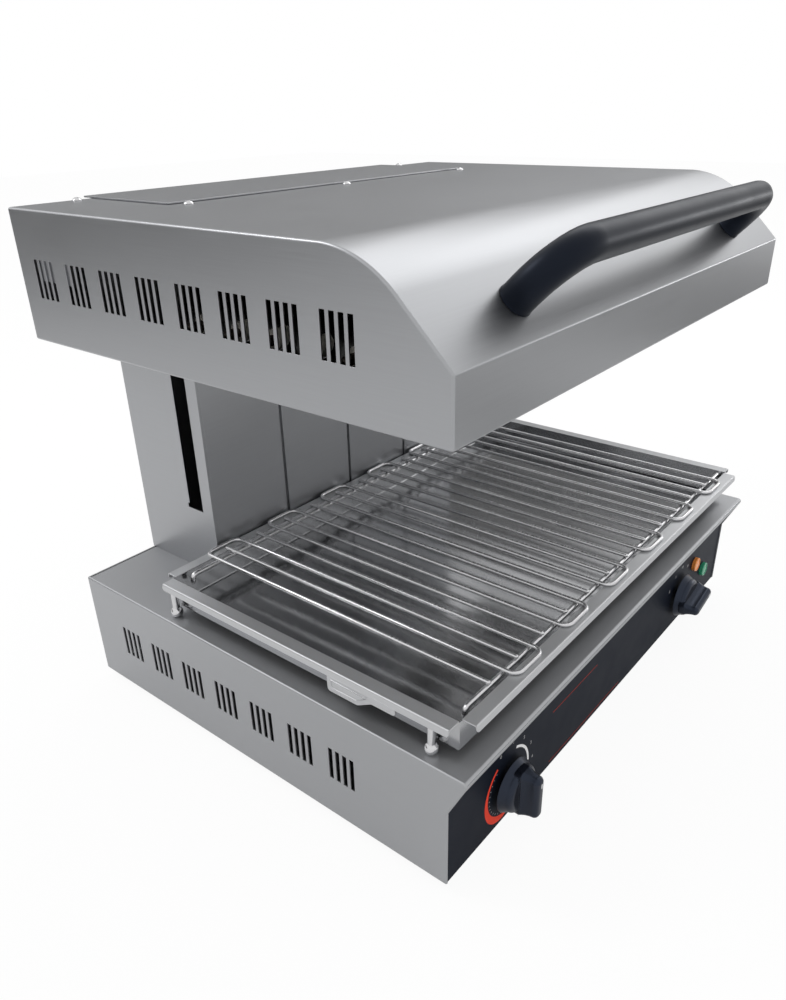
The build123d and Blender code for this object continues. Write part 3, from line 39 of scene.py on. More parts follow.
import bmesh
import bpy
from bpy.props import FloatProperty, FloatVectorProperty, IntProperty, PointerProperty
from mathutils import Matrix, Vector

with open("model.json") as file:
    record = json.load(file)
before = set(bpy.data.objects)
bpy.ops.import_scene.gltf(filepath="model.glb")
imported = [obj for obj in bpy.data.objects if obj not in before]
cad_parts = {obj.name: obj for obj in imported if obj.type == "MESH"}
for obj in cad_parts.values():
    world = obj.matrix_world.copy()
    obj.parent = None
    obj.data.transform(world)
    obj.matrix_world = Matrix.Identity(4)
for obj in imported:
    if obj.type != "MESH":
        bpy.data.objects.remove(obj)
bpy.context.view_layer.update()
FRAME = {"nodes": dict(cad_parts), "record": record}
NODES = FRAME["nodes"]
BODY_OF = {
    node: body for body, nodes in FRAME["record"]["behaviour"]["bodies"].items() for node in nodes
}

MM = 0.001
WELD = 0.002 * MM
OVERRUN = 20 * MM
FOLD_STEPS = 4
CURVE_STEPS = 28
BEND_STEPS = 8
LATHE_STEPS = 64
BEAD_SIDES, WIRE_SIDES, ROD_SIDES, TUBE_SIDES, BAR_SIDES = 8, 12, 16, 20, 40
DIGIT_STEPS = 4
QUARTER = [math.pi / 2 * step / FOLD_STEPS for step in range(FOLD_STEPS + 1)]
DOME_ANGLES = [math.radians(angle) for angle in (12, 36, 62)]
RELIEF = 0.1 * MM
HANDLE_EDGE = 0.6 * MM
SOFT_ANGLE = math.radians(38)
FLAT_ANGLE = math.radians(0.6)

HOOD_LOW, HOOD_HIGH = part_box("hood_shell")
BASE_LOW, BASE_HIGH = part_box("base_shell")
COLUMN_LOW, COLUMN_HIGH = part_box("column_shell")
PANEL_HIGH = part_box("control_panel")[1]
PAN_LOW, PAN_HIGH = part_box("drip_pan")
WIRES_LOW, WIRES_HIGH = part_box("rack_wires")
BARS_LOW, BARS_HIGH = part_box("rack_cross_bars")
GUARD_LOW, GUARD_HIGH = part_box("element_guard")
ELEMENTS_LOW, ELEMENTS_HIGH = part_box("heating_elements")
SCREWS_LOW, SCREWS_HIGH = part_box("hood_screws")
COLUMN_MIDDLE = (COLUMN_LOW.x + COLUMN_HIGH.x) / 2


def length(name, description, millimetres):
    """A size that a user may change, given in millimetres and kept in metres."""
    return FloatProperty(name=name, description=description, default=millimetres * MM, unit="LENGTH")


def angle(name, description, degrees):
    """An angle that a user may change, given in degrees and kept in radians."""
    return FloatProperty(
        name=name, description=description, default=math.radians(degrees), unit="ROTATION"
    )


def count(name, description, default):
    """A number of like pieces."""
    return IntProperty(name=name, description=description, default=default, min=1)


def colour(name, description, default):
    """A colour that a user may change."""
    return FloatVectorProperty(
        name=name, description=description, default=default, subtype="COLOR", min=0, max=1
    )


class SheetSizes(bpy.types.PropertyGroup):
    """Sizes that all the sheet pieces share."""

    sheet: length("Sheet", "Thickness of the outer sheets", 1.5)
    fold: length("Fold", "Outer radius of the sheets' folds", 2.0)
    flange: length("Flange", "Width of the flanges folded in at openings", 12.0)
    cut_edge: length("Cut edge", "Softening of the sheets' cut edges", 0.25)


class BaseSizes(bpy.types.PropertyGroup):
    """Sizes of the base's shell."""

    upright: length("Upright", "Height of the front's upright part", 80.0)
    nose_out: length("Nose", "How far the nose stands out over the front", 19.0)
    nose_radius: length("Nose radius", "Outer radius of the deck's rolled front edge", 3.5)
    nose_lip: length("Nose lip", "Height of the lip behind the nose", 7.0)
    strip: length("Strip", "Width of the strips beside the control panel", 1.6)
    well_inset: length("Well inset", "Sheet left beside the opening below the column", 18.0)
    well_front: length("Well front", "Sheet left in front of the opening below the column", 9.0)
    slot_length: length("Slot length", "Height of a side slot", 34.0)
    slot_width: length("Slot width", "Width of a side slot", 4.6)
    slot_rise: length("Slot rise", "Side slots' height over the base's lower edge", 43.0)
    slot_pitch: length("Slot pitch", "Distance between the slots of a group", 8.1)
    group_pitch: length("Group pitch", "Distance between the groups of slots", 49.5)
    rear_inset: length("Rear inset", "First slot's distance from the rear", 54.0)
    slots: count("Slots", "Slots in a group", 4)
    groups: count("Groups", "Groups of slots in a side", 7)


class HoodSizes(bpy.types.PropertyGroup):
    """Sizes of the hood's skin."""

    face_height: length("Face height", "Height of the upright front face", 48.0)
    face_fold: length("Face fold", "Outer radius of the fold over the front face", 2.5)
    slope: angle("Slope", "Slope of the face that carries the handle", 44.2)
    curve_radius: length("Curve radius", "Radius of the bend between slope and top", 89.0)
    notch_gap: length("Notch gap", "Gap between the column and the hood's notch", 4.0)
    slot_length: length("Slot length", "Height of a side slot", 33.0)
    slot_width: length("Slot width", "Width of a side slot", 4.8)
    slot_rise: length("Slot rise", "Side slots' height over the hood's lower edge", 39.8)
    slot_pitch: length("Slot pitch", "Distance between the slots of a group", 8.0)
    group_pitch: length("Group pitch", "Distance between the groups of slots", 48.3)
    rear_inset: length("Rear inset", "First slot's distance from the rear", 27.6)
    slots: count("Slots", "Slots in a group", 4)
    groups: count("Groups", "Groups of slots in a side", 8)
    screw_radius: length("Screw radius", "Radius of the top screws' domed heads", 4.8)
    screw_height: length("Screw height", "Height of the top screws' domed heads", 2.8)
    screw_side: length("Screw side", "Front screws' distance from the column's sides", 8.0)
    recess_length: length("Recess length", "Length of a screw's cross recess", 4.6)
    recess_width: length("Recess width", "Width of a screw's cross recess", 0.9)


class HandleSizes(bpy.types.PropertyGroup):
    """Sizes of the hood's handle."""

    radius: length("Radius", "Radius of the bar", 12.75)
    foot_side: length("Foot side", "Feet's distance from the middle", 200.0)
    foot_rise: length("Foot rise", "Feet's distance up the slope from its lower fold", 30.5)
    standoff: length("Stand-off", "Bar's height over the slope", 47.5)
    bend: length("Bend", "Radius of the bar's bends", 36.0)
    flare: length("Flare", "How much a foot widens where it meets the slope", 0.5)
    flare_length: length("Flare length", "Length of the widened foot", 3.0)


class HeaterSizes(bpy.types.PropertyGroup):
    """Sizes of the heating elements and the guard below them."""

    element_radius: length("Element radius", "Radius of the element's sheath", 4.0)
    element_pitch: length("Element pitch", "Distance between the elements", 84.0)
    leg_gap: length("Leg gap", "Distance between an element's two legs", 44.0)
    element_bend: length("Element bend", "Bend radius of an element", 18.0)
    elements: count("Elements", "Number of bent elements", 3)
    guard_radius: length("Guard frame", "Radius of the guard's frame rod", 2.5)
    guard_bend: length("Guard bend", "Bend radius of the guard's corners", 12.0)
    guard_wire: length("Guard wire", "Radius of the guard's wires", 1.6)
    guard_end: length("Guard end", "Frame's reach beyond the outermost wires", 12.0)
    guard_wires: count("Guard wires", "Number of wires in the guard", 15)


class PanSizes(bpy.types.PropertyGroup):
    """Sizes of the drip pan."""

    sheet: length("Sheet", "Thickness of the pan's sheet", 1.0)
    rim_width: length("Rim width", "Width of the front and side rims", 13.3)
    rear_rim_width: length("Rear rim width", "Width of the rear rim", 12.5)
    rim_fold: length("Rim fold", "Outer radius of the rims' folds", 1.5)
    lip_height: length("Lip height", "Height of the lips folded down from the rims", 6.5)
    lip_lean: length("Lip lean", "How far the front and side lips lean out", 1.0)
    rear_lean: length("Rear lean", "How far the rear lip leans out", 0.5)
    lip_corner: length("Lip corner", "Rounding of the lips' lower corners", 3.0)
    end_trim: length("End trim", "How much the front and rear rims stop short of the corners", 3.0)
    floor_fold: length("Floor fold", "Outer radius of the fold between floor and walls", 3.0)
    lap: length("Lap", "Step where the rims lap over the walls", 0.15)
    grip_rear: length("Grip rear", "Finger grips' rear ends behind the front wall", 121.5)
    grip_length: length("Grip length", "Length of the finger grips", 47.5)
    grip_drop: length("Grip drop", "Depth of the finger grips below the lips", 14.5)
    grip_slope: length("Grip slope", "Length of the grips' sloping front ends", 15.0)
    tail_length: length("Tail length", "Length of the grips' lower tails", 24.0)
    tail_drop: length("Tail drop", "Depth of the grips' tails", 6.0)
    grip_corner: length("Grip corner", "Rounding of the grips' corners", 3.0)
    bead_radius: length("Bead radius", "Radius of the bead pressed into a grip", 0.8)
    bead_inset: length("Bead inset", "The bead's distance from the grip's edges", 4.5)


class RackSizes(bpy.types.PropertyGroup):
    """Sizes of the wire rack."""

    wire_radius: length("Wire radius", "Radius of the rack's wires", 2.0)
    bar_radius: length("Bar radius", "Radius of the two cross bars", 2.5)
    bend: length("Bend", "Bend radius of the wires' loops", 9.0)
    wires: count("Wires", "Number of parallel runs", 24)
    front_start: length("Front start", "Front ends' distance behind the rack's front reach", 13.5)
    rear_start: length("Rear start", "Rear ends' distance before the rack's rear reach", 8.5)
    bar_drop: length("Bar drop", "Depth of the bars' turned-down ends", 9.0)
    bar_bend: length("Bar bend", "Bend radius of the bars' ends", 4.5)


class KnobSizes(bpy.types.PropertyGroup):
    """Sizes of the two knobs and the lamps' lenses."""

    skirt_taper: length("Skirt taper", "How much narrower the skirt is in front", 3.5)
    skirt_depth: length("Skirt depth", "Depth of the round skirt", 12.0)
    skirt_edge: length("Skirt edge", "Rounding of the skirt's front edge", 6.0)
    grip_length: length("Grip length", "Length of the grip at the skirt", 48.0)
    grip_shrink: length("Grip shrink", "How much shorter the grip is in front", 4.0)
    grip_width: length("Grip width", "Width of the grip in front", 12.0)
    grip_spread: length("Grip spread", "How much wider the grip is at the skirt", 6.0)
    grip_corner: length("Grip corner", "Rounding of the grip's corners", 5.0)
    grip_round: length("Grip round", "Rounding of the grip's front face", 4.8)
    grip_edge: length("Grip edge", "Softening of the knob's edges", 0.8)
    timer_turn: angle("Timer turn", "Timer knob's turn at rest, against the clock", -77.0)
    lens_rim: length("Lens rim", "Width of a lamp lens' raised rim", 1.6)
    lens_chamfer: length("Lens chamfer", "Chamfer of a lamp lens' rim", 0.7)


class PrintSizes(bpy.types.PropertyGroup):
    """Sizes of the panel's printed marks."""

    proud: length("Proud", "Height of the print over the panel", 0.06)
    arc_radius: length("Arc radius", "Outer radius of the printed arcs", 34.5)
    arc_width: length("Arc width", "Width of the printed arcs", 2.6)
    crescent_swell: length("Crescent swell", "Extra width of the red arc where it is widest", 4.5)
    tick_radius: length("Tick radius", "Radius of the ring of ticks round the left knob", 29.5)
    tick_length: length("Tick length", "Length of a tick", 1.6)
    tick_width: length("Tick width", "Width of a tick", 0.5)
    digit_height: length("Digit height", "Size of the printed digits", 5.0)
    power_digit_radius: length("Left digit radius", "Radius of the left knob's digits", 41.0)
    timer_digit_radius: length("Right digit radius", "Radius of the right knob's digits", 35.0)
    mark_length: length("Mark length", "Length of the marks on the knobs", 5.0)
    mark_width: length("Mark width", "Width of the marks on the knobs", 1.4)
    line_left: length("Line left", "Left ends of the two plain lines, left of the middle", 132.0)
    upper_line: length("Upper line", "Length of the upper line", 89.0)
    lower_line: length("Lower line", "Length of the lower line", 150.0)
    line_middle: length("Line middle", "Height midway between the lines", 45.0)
    line_spread: length("Line spread", "Each line's distance from midway", 30.0)
    line_width: length("Line width", "Width of the lines", 0.7)


class GrillColours(bpy.types.PropertyGroup):
    """Base colours of the finishes."""

    steel: colour("Steel", "Satin stainless sheet", (0.357, 0.363, 0.376))
    deck: colour("Deck steel", "Satin sheet of the base", (0.367, 0.373, 0.386))
    pan: colour("Pan steel", "Bright sheet of the pan's tray", (0.44, 0.445, 0.455))
    rim: colour("Rim steel", "Satin sheet of the pan's rims", (0.50, 0.506, 0.518))
    lining: colour("Lining steel", "Bright sheet under the hood", (0.78, 0.785, 0.79))
    # Painted shade: near black on the upper and outer sides of the hood's bright sheets, standing in for
    # the shade inside the hood
    stain: colour("Painted shade steel", "Upper side of the sheets in the hood", (0.05, 0.05, 0.05))
    bright: colour("Bright steel", "Drawn wire and turned parts", (0.62, 0.62, 0.63))
    panel: colour("Panel", "Black film on the control panel", (0.004, 0.006, 0.012))
    plastic: colour("Plastic", "Knobs", (0.006, 0.007, 0.011))
    coating: colour("Coating", "Handle's coating", (0.004, 0.005, 0.008))
    amber: colour("Amber", "Left lamp", (0.85, 0.22, 0.04))
    green: colour("Green", "Right lamp", (0.02, 0.22, 0.11))
    red: colour("Red", "Printed scale", (0.80, 0.06, 0.03))
    floor: colour("Floor", "Floor under the grill", (0.90, 0.90, 0.90))
    card: colour("Card", "Grey cards that shape the reflections", (0.16, 0.16, 0.16))


# Shared builders

class NodeBuilder:
    """Adds nodes to a tree and joins or sets their inputs in one call."""

    def __init__(self, tree):
        self.tree = tree

    def add(self, kind, inputs=None, **settings):
        node = self.tree.nodes.new(kind)
        for key, value in settings.items():
            setattr(node, key, value)
        for key, value in (inputs or {}).items():
            self.put(value, node.inputs[key])
        return node

    def first(self, kind, inputs=None, **settings):
        """First output of a new node."""
        return self.add(kind, inputs, **settings).outputs[0]

    def math(self, operation, *values):
        """Result of a new math node on numbers or sockets."""
        return self.first("ShaderNodeMath", dict(enumerate(values)), operation=operation)

    def put(self, value, socket):
        if isinstance(value, bpy.types.NodeSocket):
            self.tree.links.new(value, socket)
        else:
            socket.default_value = value


def new_group(name, kind, inputs, outputs):
    """An empty node group with (name, type) sockets, its builder, and its inner ends' sockets."""
    tree = bpy.data.node_groups.new(name, kind)
    for side, sockets in (("INPUT", inputs), ("OUTPUT", outputs)):
        for label, socket_type in sockets:
            tree.interface.new_socket(label, in_out=side, socket_type="NodeSocket" + socket_type)
    build = NodeBuilder(tree)
    return tree, build, build.add("NodeGroupInput").outputs, build.add("NodeGroupOutput").inputs


def new_shape_group(name, inputs):
    """A geometry tree whose inputs begin with a geometry and end with a material."""
    return new_group(
        name, "GeometryNodeTree", [("Geometry", "Geometry"), *inputs, ("Material", "Material")],
        [("Geometry", "Geometry")],
    )


def end_shape_group(build, given, result, geometry):
    """Gives out a geometry tree's result, made real and in its material."""
    whole = build.first("GeometryNodeRealizeInstances", {0: geometry})
    coated = {"Geometry": whole, "Material": given["Material"]}
    build.put(build.first("GeometryNodeSetMaterial", coated), result["Geometry"])


def group_named(name, make):
    """The node group of that name, made when it is first asked for."""
    return bpy.data.node_groups.get(name) or make()


def linked(name, data):
    """A new object in the scene."""
    made = bpy.data.objects.new(name, data)
    bpy.context.collection.objects.link(made)
    return made


def mesh_from(bm, name="shape"):
    """A mesh from a bmesh, which is freed."""
    mesh = bpy.data.meshes.new(name)
    bm.to_mesh(mesh)
    bm.free()
    return mesh


def joined(*parts):
    """One bmesh from several, which are freed."""
    whole = bmesh.new()
    for part in parts:
        mesh = mesh_from(part)
        whole.from_mesh(mesh)
        bpy.data.meshes.remove(mesh)
    return whole


def placed(bm, matrix):
    """The bmesh moved by a matrix."""
    bmesh.ops.transform(bm, matrix=matrix, verts=bm.verts)
    return bm


def closed_up(bm):
    """The bmesh with doubled points welded and its faces turned outward."""
    bmesh.ops.remove_doubles(bm, verts=bm.verts, dist=WELD)
    bmesh.ops.recalc_face_normals(bm, faces=bm.faces)
    return bm


def loft(loops, caps=True):
    """A closed skin over loops of as many points each, with caps unless its ends are points."""
    bm = bmesh.new()
    rings = [[bm.verts.new(point) for point in loop] for loop in loops]
    for ring, after in zip(rings, rings[1:]):
        for index in range(len(ring)):
            bm.faces.new((ring[index - 1], ring[index], after[index], after[index - 1]))
    if caps:
        bm.faces.new(rings[0])
        bm.faces.new(rings[-1])
    return closed_up(bm)


def lathe(profile):
    """A closed skin turned about Z from (radius, height) points that start and end on the axis."""
    turns = [math.tau * step / LATHE_STEPS for step in range(LATHE_STEPS)]
    return loft([
        [(radius * math.cos(turn), radius * math.sin(turn), height) for turn in turns]
        for radius, height in profile
    ], caps=False)


def box_between(low, high):
    """A box between two corners."""
    low = Vector(low)
    size = Vector(high) - low
    bm = bmesh.new()
    bmesh.ops.create_cube(bm, size=1.0)
    return placed(bm, Matrix.Translation(low + size / 2) @ Matrix.Diagonal((*size, 1.0)))


def rounded_outline(corners, inset=0.0):
    """Points round an outline of (u, v, radius, steps) corners, against the clock, set in evenly."""
    points = []
    for index, (u, v, radius, steps) in enumerate(corners):
        here = Vector((u, v))
        arriving = here - Vector(corners[index - 1][:2])
        leaving = Vector(corners[(index + 1) % len(corners)][:2]) - here
        into = Vector((-arriving.y, arriving.x)).normalized()
        out = Vector((-leaving.y, leaving.x)).normalized()
        turn = math.atan2(into.cross(out), into.dot(out))
        side = math.copysign(1.0, turn)
        bend = max(radius - side * inset, 0.0)
        centre = here + (into + out) * (inset + side * bend) / (1 + into.dot(out))
        for step in range(steps + 1):
            spin = Matrix.Rotation(turn * step / max(steps, 1), 2)
            points.append(centre - side * bend * (spin @ into))
    return points


def rectangle(low, high, radius=0.0, steps=0):
    """The four corners of a rectangle, as rounded_outline takes them."""
    return [(u, v, radius, steps) for u, v in (low, (high[0], low[1]), high, (low[0], high[1]))]


def bent_path(corners, bend):
    """Points along straight runs whose corners are rounded to a bend radius."""
    corners = [Vector(corner) for corner in corners]
    points = [corners[0]]
    for before, here, after in zip(corners, corners[1:], corners[2:]):
        into = (here - before).normalized()
        out = (after - here).normalized()
        turn = into.angle(out)
        centre = here + (out - into).normalized() * bend / math.cos(turn / 2)
        arm = here - into * bend * math.tan(turn / 2) - centre
        for step in range(BEND_STEPS + 1):
            spin = Matrix.Rotation(turn * step / BEND_STEPS, 3, into.cross(out))
            points.append(centre + spin @ arm)
    return points + [corners[-1]]


def domed(points, radius):
    """The points as (place, radius share), with both ends rounded to domes."""
    ends = []
    for tip, inner in ((points[0], points[1]), (points[-1], points[-2])):
        inward = (inner - tip).normalized() * radius
        ends.append([(tip + inward * (1 - math.cos(a)), math.sin(a)) for a in DOME_ANGLES]
                    + [(tip + inward, 1.0)])
    return ends[0] + [(point, 1.0) for point in points[1:-1]] + ends[1][::-1]


def path_curve(paths, closed=False):
    """A curve through lists of (place, radius share)."""
    curve = bpy.data.curves.new("paths", "CURVE")
    curve.dimensions = "3D"
    for path in paths:
        spline = curve.splines.new("POLY")
        spline.use_cyclic_u = closed
        spline.points.add(len(path) - 1)
        for point, (place, share) in zip(spline.points, path):
            point.co = (*place, 1.0)
            point.radius = share
    return curve


def settled(data, modifiers=(), tree=None, values=None):
    """The plain mesh that modifiers, or a node tree with named values, make of a mesh or curve."""
    source = linked("source", data)
    for kind, settings in modifiers:
        modifier = source.modifiers.new(kind, kind)
        for key, value in settings.items():
            setattr(modifier, key, value)
    if tree is not None:
        modifier = source.modifiers.new("tree", "NODES")
        modifier.node_group = tree
        for item in tree.interface.items_tree:
            if item.item_type == "SOCKET" and item.in_out == "INPUT" and item.name in values:
                modifier[item.identifier] = values[item.name]
    graph = bpy.context.evaluated_depsgraph_get()
    mesh = bpy.data.meshes.new_from_object(
        source.evaluated_get(graph), preserve_all_data_layers=True, depsgraph=graph
    )
    bpy.data.objects.remove(source)
    return mesh


def softened(mesh, edge):
    """The mesh with its sharp edges rounded and shaded with even highlights."""
    mesh.shade_smooth()
    return settled(mesh, [
        ("BEVEL", {"width": edge, "segments": 2, "limit_method": "ANGLE",
                   "angle_limit": SOFT_ANGLE, "use_clamp_overlap": False}),
        ("WEIGHTED_NORMAL", {"keep_sharp": True, "weight": 80}),
    ])


def soft_copy(node, edge):
    """A node's own shape with whole flat faces and softened edges."""
    bm = bmesh.new()
    bm.from_mesh(NODES[node].data)
    bmesh.ops.remove_doubles(bm, verts=bm.verts, dist=WELD)
    bmesh.ops.dissolve_limit(bm, angle_limit=FLAT_ANGLE, verts=bm.verts, edges=bm.edges)
    mesh = mesh_from(bm, node)
    if "custom_normal" in mesh.attributes:
        mesh.attributes.remove(mesh.attributes["custom_normal"])
    return softened(mesh, edge)


def new_piece(name, mesh, finish, node, replaces=()):
    """A piece with one finish that rides with a node's body and stands for the nodes it replaces."""
    piece = linked(name, mesh)
    mesh.name = name
    mesh.materials.clear()
    mesh.materials.append(bpy.data.materials[finish])
    if replaces:
        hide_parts(*replaces)
    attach(piece, BODY_OF[node])
    return piece


def soft_pieces(rows):
    """Pieces that stand for nodes and have their shapes, with a finish and an edge in millimetres."""
    for node, finish, edge in rows:
        new_piece(node + "_soft", soft_copy(node, edge * MM), finish, node, [node])


# Finishes

# Where a face counts as looking sideways or down, and the strengths that finishes share
SIDEWAYS = 0.7
# Faces that look further down than this keep the lining's colour; the rest of the hood's bright sheets are
# painted in shade
DOWNWARD = -0.1
CLOUDING = 0.04
VARIATION = 0.12
MILL_SHARE = 0.9
DULL_INK_SHARE = 0.45


def new_grain_group(name, amounts):
    """A shader group that takes a colour, a roughness and amounts, and gives out a whole finish."""
    return new_group(
        name, "ShaderNodeTree",
        [("Colour", "Color"), ("Roughness", "Float"), *((label, "Float") for label in amounts)],
        [("Colour", "Color"), ("Roughness", "Float"), ("Height", "Float")],
    )


def end_grain_group(build, given, result, shift, height):
    """Gives out the colour and the roughness, both changed by the shift, and the relief's height."""
    rough = build.math("ADD", given["Roughness"], shift)
    gain = {0: given["Colour"], 1: build.math("ADD", shift, 1.0)}
    build.put(build.first("ShaderNodeVectorMath", gain, operation="MULTIPLY"), result["Colour"])
    build.put(rough, result["Roughness"])
    build.put(height, result["Height"])


def make_sheet_grain():
    """Satin grain: long scratches across X, or along the depth on faces that look sideways."""
    tree, build, given, result = new_grain_group("sheet_grain", ("Grain", "Clouding"))
    place = build.add("ShaderNodeTexCoord").outputs
    along, across = 14.0, 900.0
    scratches = []
    for stretch in ((along, across, across), (across, along, across)):
        mapped = build.first("ShaderNodeMapping", {"Vector": place["Object"], "Scale": stretch})
        noise = {"Vector": mapped, "Scale": 1.0, "Detail": 3.0}
        scratches.append(build.first("ShaderNodeTexNoise", noise))
    facing = build.add("ShaderNodeSeparateXYZ", {"Vector": place["Normal"]}).outputs["X"]
    sideways = build.math("GREATER_THAN", build.math("ABSOLUTE", facing), SIDEWAYS)
    scratch = build.first("ShaderNodeMix", {"Factor": sideways, 2: scratches[0], 3: scratches[1]})
    noise = {"Vector": place["Object"], "Scale": 9.0, "Detail": 4.0, "Roughness": 0.6}
    cloud = build.first("ShaderNodeTexNoise", noise)
    shifts = [
        build.math("MULTIPLY", build.math("SUBTRACT", source, 0.5), given[amount])
        for source, amount in ((scratch, "Grain"), (cloud, "Clouding"))
    ]
    end_grain_group(build, given, result, build.math("ADD", *shifts), scratch)
    return tree


def make_moulded_grain():
    """Fine even grain of moulded plastic, rubber, coatings and printed film."""
    tree, build, given, result = new_grain_group("moulded_grain", ("Size", "Variation"))
    place = build.add("ShaderNodeTexCoord").outputs["Object"]
    grain = build.first("ShaderNodeTexNoise", {"Vector": place, "Scale": given["Size"], "Detail": 2.0})
    cloud = build.first("ShaderNodeTexNoise", {"Vector": place, "Scale": 30.0, "Detail": 3.0})
    shift = build.math("MULTIPLY", build.math("SUBTRACT", cloud, 0.5), given["Variation"])
    end_grain_group(build, given, result, shift, grain)
    return tree


def finish_material(name, group, base, bump, grain, **values):
    """A finish from a grain group's values, a bump strength and any inputs of the shader."""
    material = bpy.data.materials.new(name)
    material.use_nodes = True
    build = NodeBuilder(material.node_tree)
    look = build.add("ShaderNodeGroup", node_tree=group)
    for key, value in {"Colour": (*base, 1.0), **grain}.items():
        look.inputs[key].default_value = value
    relief = build.first("ShaderNodeBump", {
        "Strength": bump, "Distance": RELIEF, "Height": look.outputs["Height"]
    })
    shader = material.node_tree.nodes["Principled BSDF"]
    values.update(Base_Color=look.outputs["Colour"], Roughness=look.outputs["Roughness"], Normal=relief)
    for key, value in values.items():
        build.put(value, shader.inputs[key.replace("_", " ")])


def darken_above(material, bright, dark):
    """Leaves only a sheet's lower side bright, and paints its upper and outer side near black as painted
    shade for the dark inside of the hood.
    """
    tree = material.node_tree
    build = NodeBuilder(tree)
    normal = build.add("ShaderNodeTexCoord").outputs["Normal"]
    facing = build.add("ShaderNodeSeparateXYZ", {"Vector": normal}).outputs["Z"]
    tint = build.add("ShaderNodeMix", {
        0: build.math("GREATER_THAN", facing, DOWNWARD), 6: (*bright, 1.0), 7: (*dark, 1.0)
    }, data_type="RGBA")
    grain = next(node for node in tree.nodes if node.type == "GROUP")
    build.put(tint.outputs[2], grain.inputs["Colour"])


def make_steels(colours):
    """Sheet, wire and turned steels."""
    group = make_sheet_grain()
    dull = [value * MILL_SHARE for value in colours.steel]
    for name, base, metallic, roughness, grain, bump in (
        ("satin_sheet", colours.steel, 1.0, 0.36, 0.10, 0.05),
        ("deck_sheet", colours.deck, 0.72, 0.42, 0.06, 0.03),
        ("mill_sheet", dull, 1.0, 0.42, 0.12, 0.10),
        ("pan_sheet", colours.pan, 1.0, 0.15, 0.03, 0.004),
        ("rim_sheet", colours.rim, 0.72, 0.40, 0.06, 0.03),
        ("bright_sheet", colours.lining, 1.0, 0.16, 0.03, 0.004),
        ("drawn_wire", colours.bright, 1.0, 0.27, 0.05, 0.02),
        ("turned_steel", colours.bright, 1.0, 0.14, 0.08, 0.02),
    ):
        values = {"Roughness": roughness, "Grain": grain, "Clouding": CLOUDING}
        finish_material(name, group, base, bump, values, Metallic=metallic)
    # Paints the upper and outer sides of the hood floor and reflector near black, as painted shade
    darken_above(bpy.data.materials["bright_sheet"], colours.lining, colours.stain)


def make_moulded(colours):
    """Plastics, coatings, prints, rubber, ceramic and the darker metals."""
    group = make_moulded_grain()

    def plain(name, base, roughness, size=1800.0, bump=0.1, **values):
        grain = {"Roughness": roughness, "Size": size, "Variation": VARIATION}
        finish_material(name, group, base, bump, grain, **values)

    sheen = {"Specular_Tint": (0.60, 0.72, 1.0, 1.0)}
    ink = {"bump": 0.03, "Specular_IOR_Level": 0.1}
    lens = {"bump": 0.03, "Transmission_Weight": 0.25, "IOR": 1.49}
    plain("panel_film", colours.panel, 0.50, 2400.0, 0.05, Specular_IOR_Level=0.10, **sheen)
    plain("knob_plastic", colours.plastic, 0.30, 2600.0, **sheen)
    plain("handle_coating", colours.coating, 0.40, 2200.0, 0.2, Specular_IOR_Level=0.2, **sheen)
    plain("gland_plastic", colours.plastic, 0.50, bump=0.2)
    plain("red_print", colours.red, 0.60, **ink)
    plain("dull_red_print", [value * DULL_INK_SHARE for value in colours.red], 0.60, **ink)
    plain("white_print", (0.85, 0.85, 0.85), 0.45, bump=0.03)
    plain("grey_print", (0.42, 0.42, 0.43), 0.50, bump=0.03)
    plain("foot_rubber", (0.025, 0.025, 0.025), 0.75, 1400.0, 0.5)
    plain("white_plastic", (0.78, 0.78, 0.75), 0.40)
    plain("ceramic", (0.82, 0.79, 0.73), 0.55, 1500.0, 0.3)
    plain("tube_paint", (0.015, 0.015, 0.016), 0.18, bump=0.03)
    plain("oxidised_sheath", (0.10, 0.085, 0.075), 0.55, 1600.0, 0.3, Metallic=1.0)
    plain("mineral_wool", (0.60, 0.54, 0.38), 0.95, 500.0, 1.0)
    plain("bush_bronze", (0.55, 0.36, 0.16), 0.35, 1500.0, Metallic=1.0)
    plain("amber_lens", colours.amber, 0.18, **lens)
    plain("green_lens", colours.green, 0.18, **lens)


# Frame nodes that keep their own shape, by finish
NODE_FINISHES = {
    "mill_sheet": [
        "lower_guide_bracket", "upper_guide_bracket", "gas_spring_feet", "hood_hangers",
        "lift_beam", "carriage_plate", "element_supports",
    ],
    "turned_steel": [
        "pan_legs", "guide_rods", "gas_spring_rods", "rear_screws", "foot_screws", "handle_bolts",
        "power_shaft", "timer_shaft",
    ],
    "gland_plastic": ["power_control", "timer", "lamp_bodies"],
    "foot_rubber": ["rubber_feet"],
    "white_plastic": ["terminal_block"],
    "ceramic": ["element_bushes"],
    "tube_paint": ["gas_spring_cylinders"],
    "mineral_wool": ["insulation_slab"],
    "bush_bronze": ["guide_bushes"],
}

# Nodes whose own shape only gets softened edges, with their finish and edge in millimetres
SOFT_SHEETS = [
    ("column_shell", "satin_sheet", 0.3), ("column_cap", "satin_sheet", 0.3),
    ("backsplash_panels", "satin_sheet", 0.3), ("column_rear_cover", "mill_sheet", 0.25),
    ("base_rear_panel", "mill_sheet", 0.25), ("base_bottom_plate", "mill_sheet", 0.25),
]
SOFT_PANELS = [("control_panel", "panel_film", 0.4), ("cable_gland", "gland_plastic", 0.4)]
SOFT_LININGS = [
    ("hood_liner", "mill_sheet", 0.25), ("hood_floor", "bright_sheet", 0.25),
    ("reflector", "bright_sheet", 0.25),
]


# Sheet shells of the base and the hood

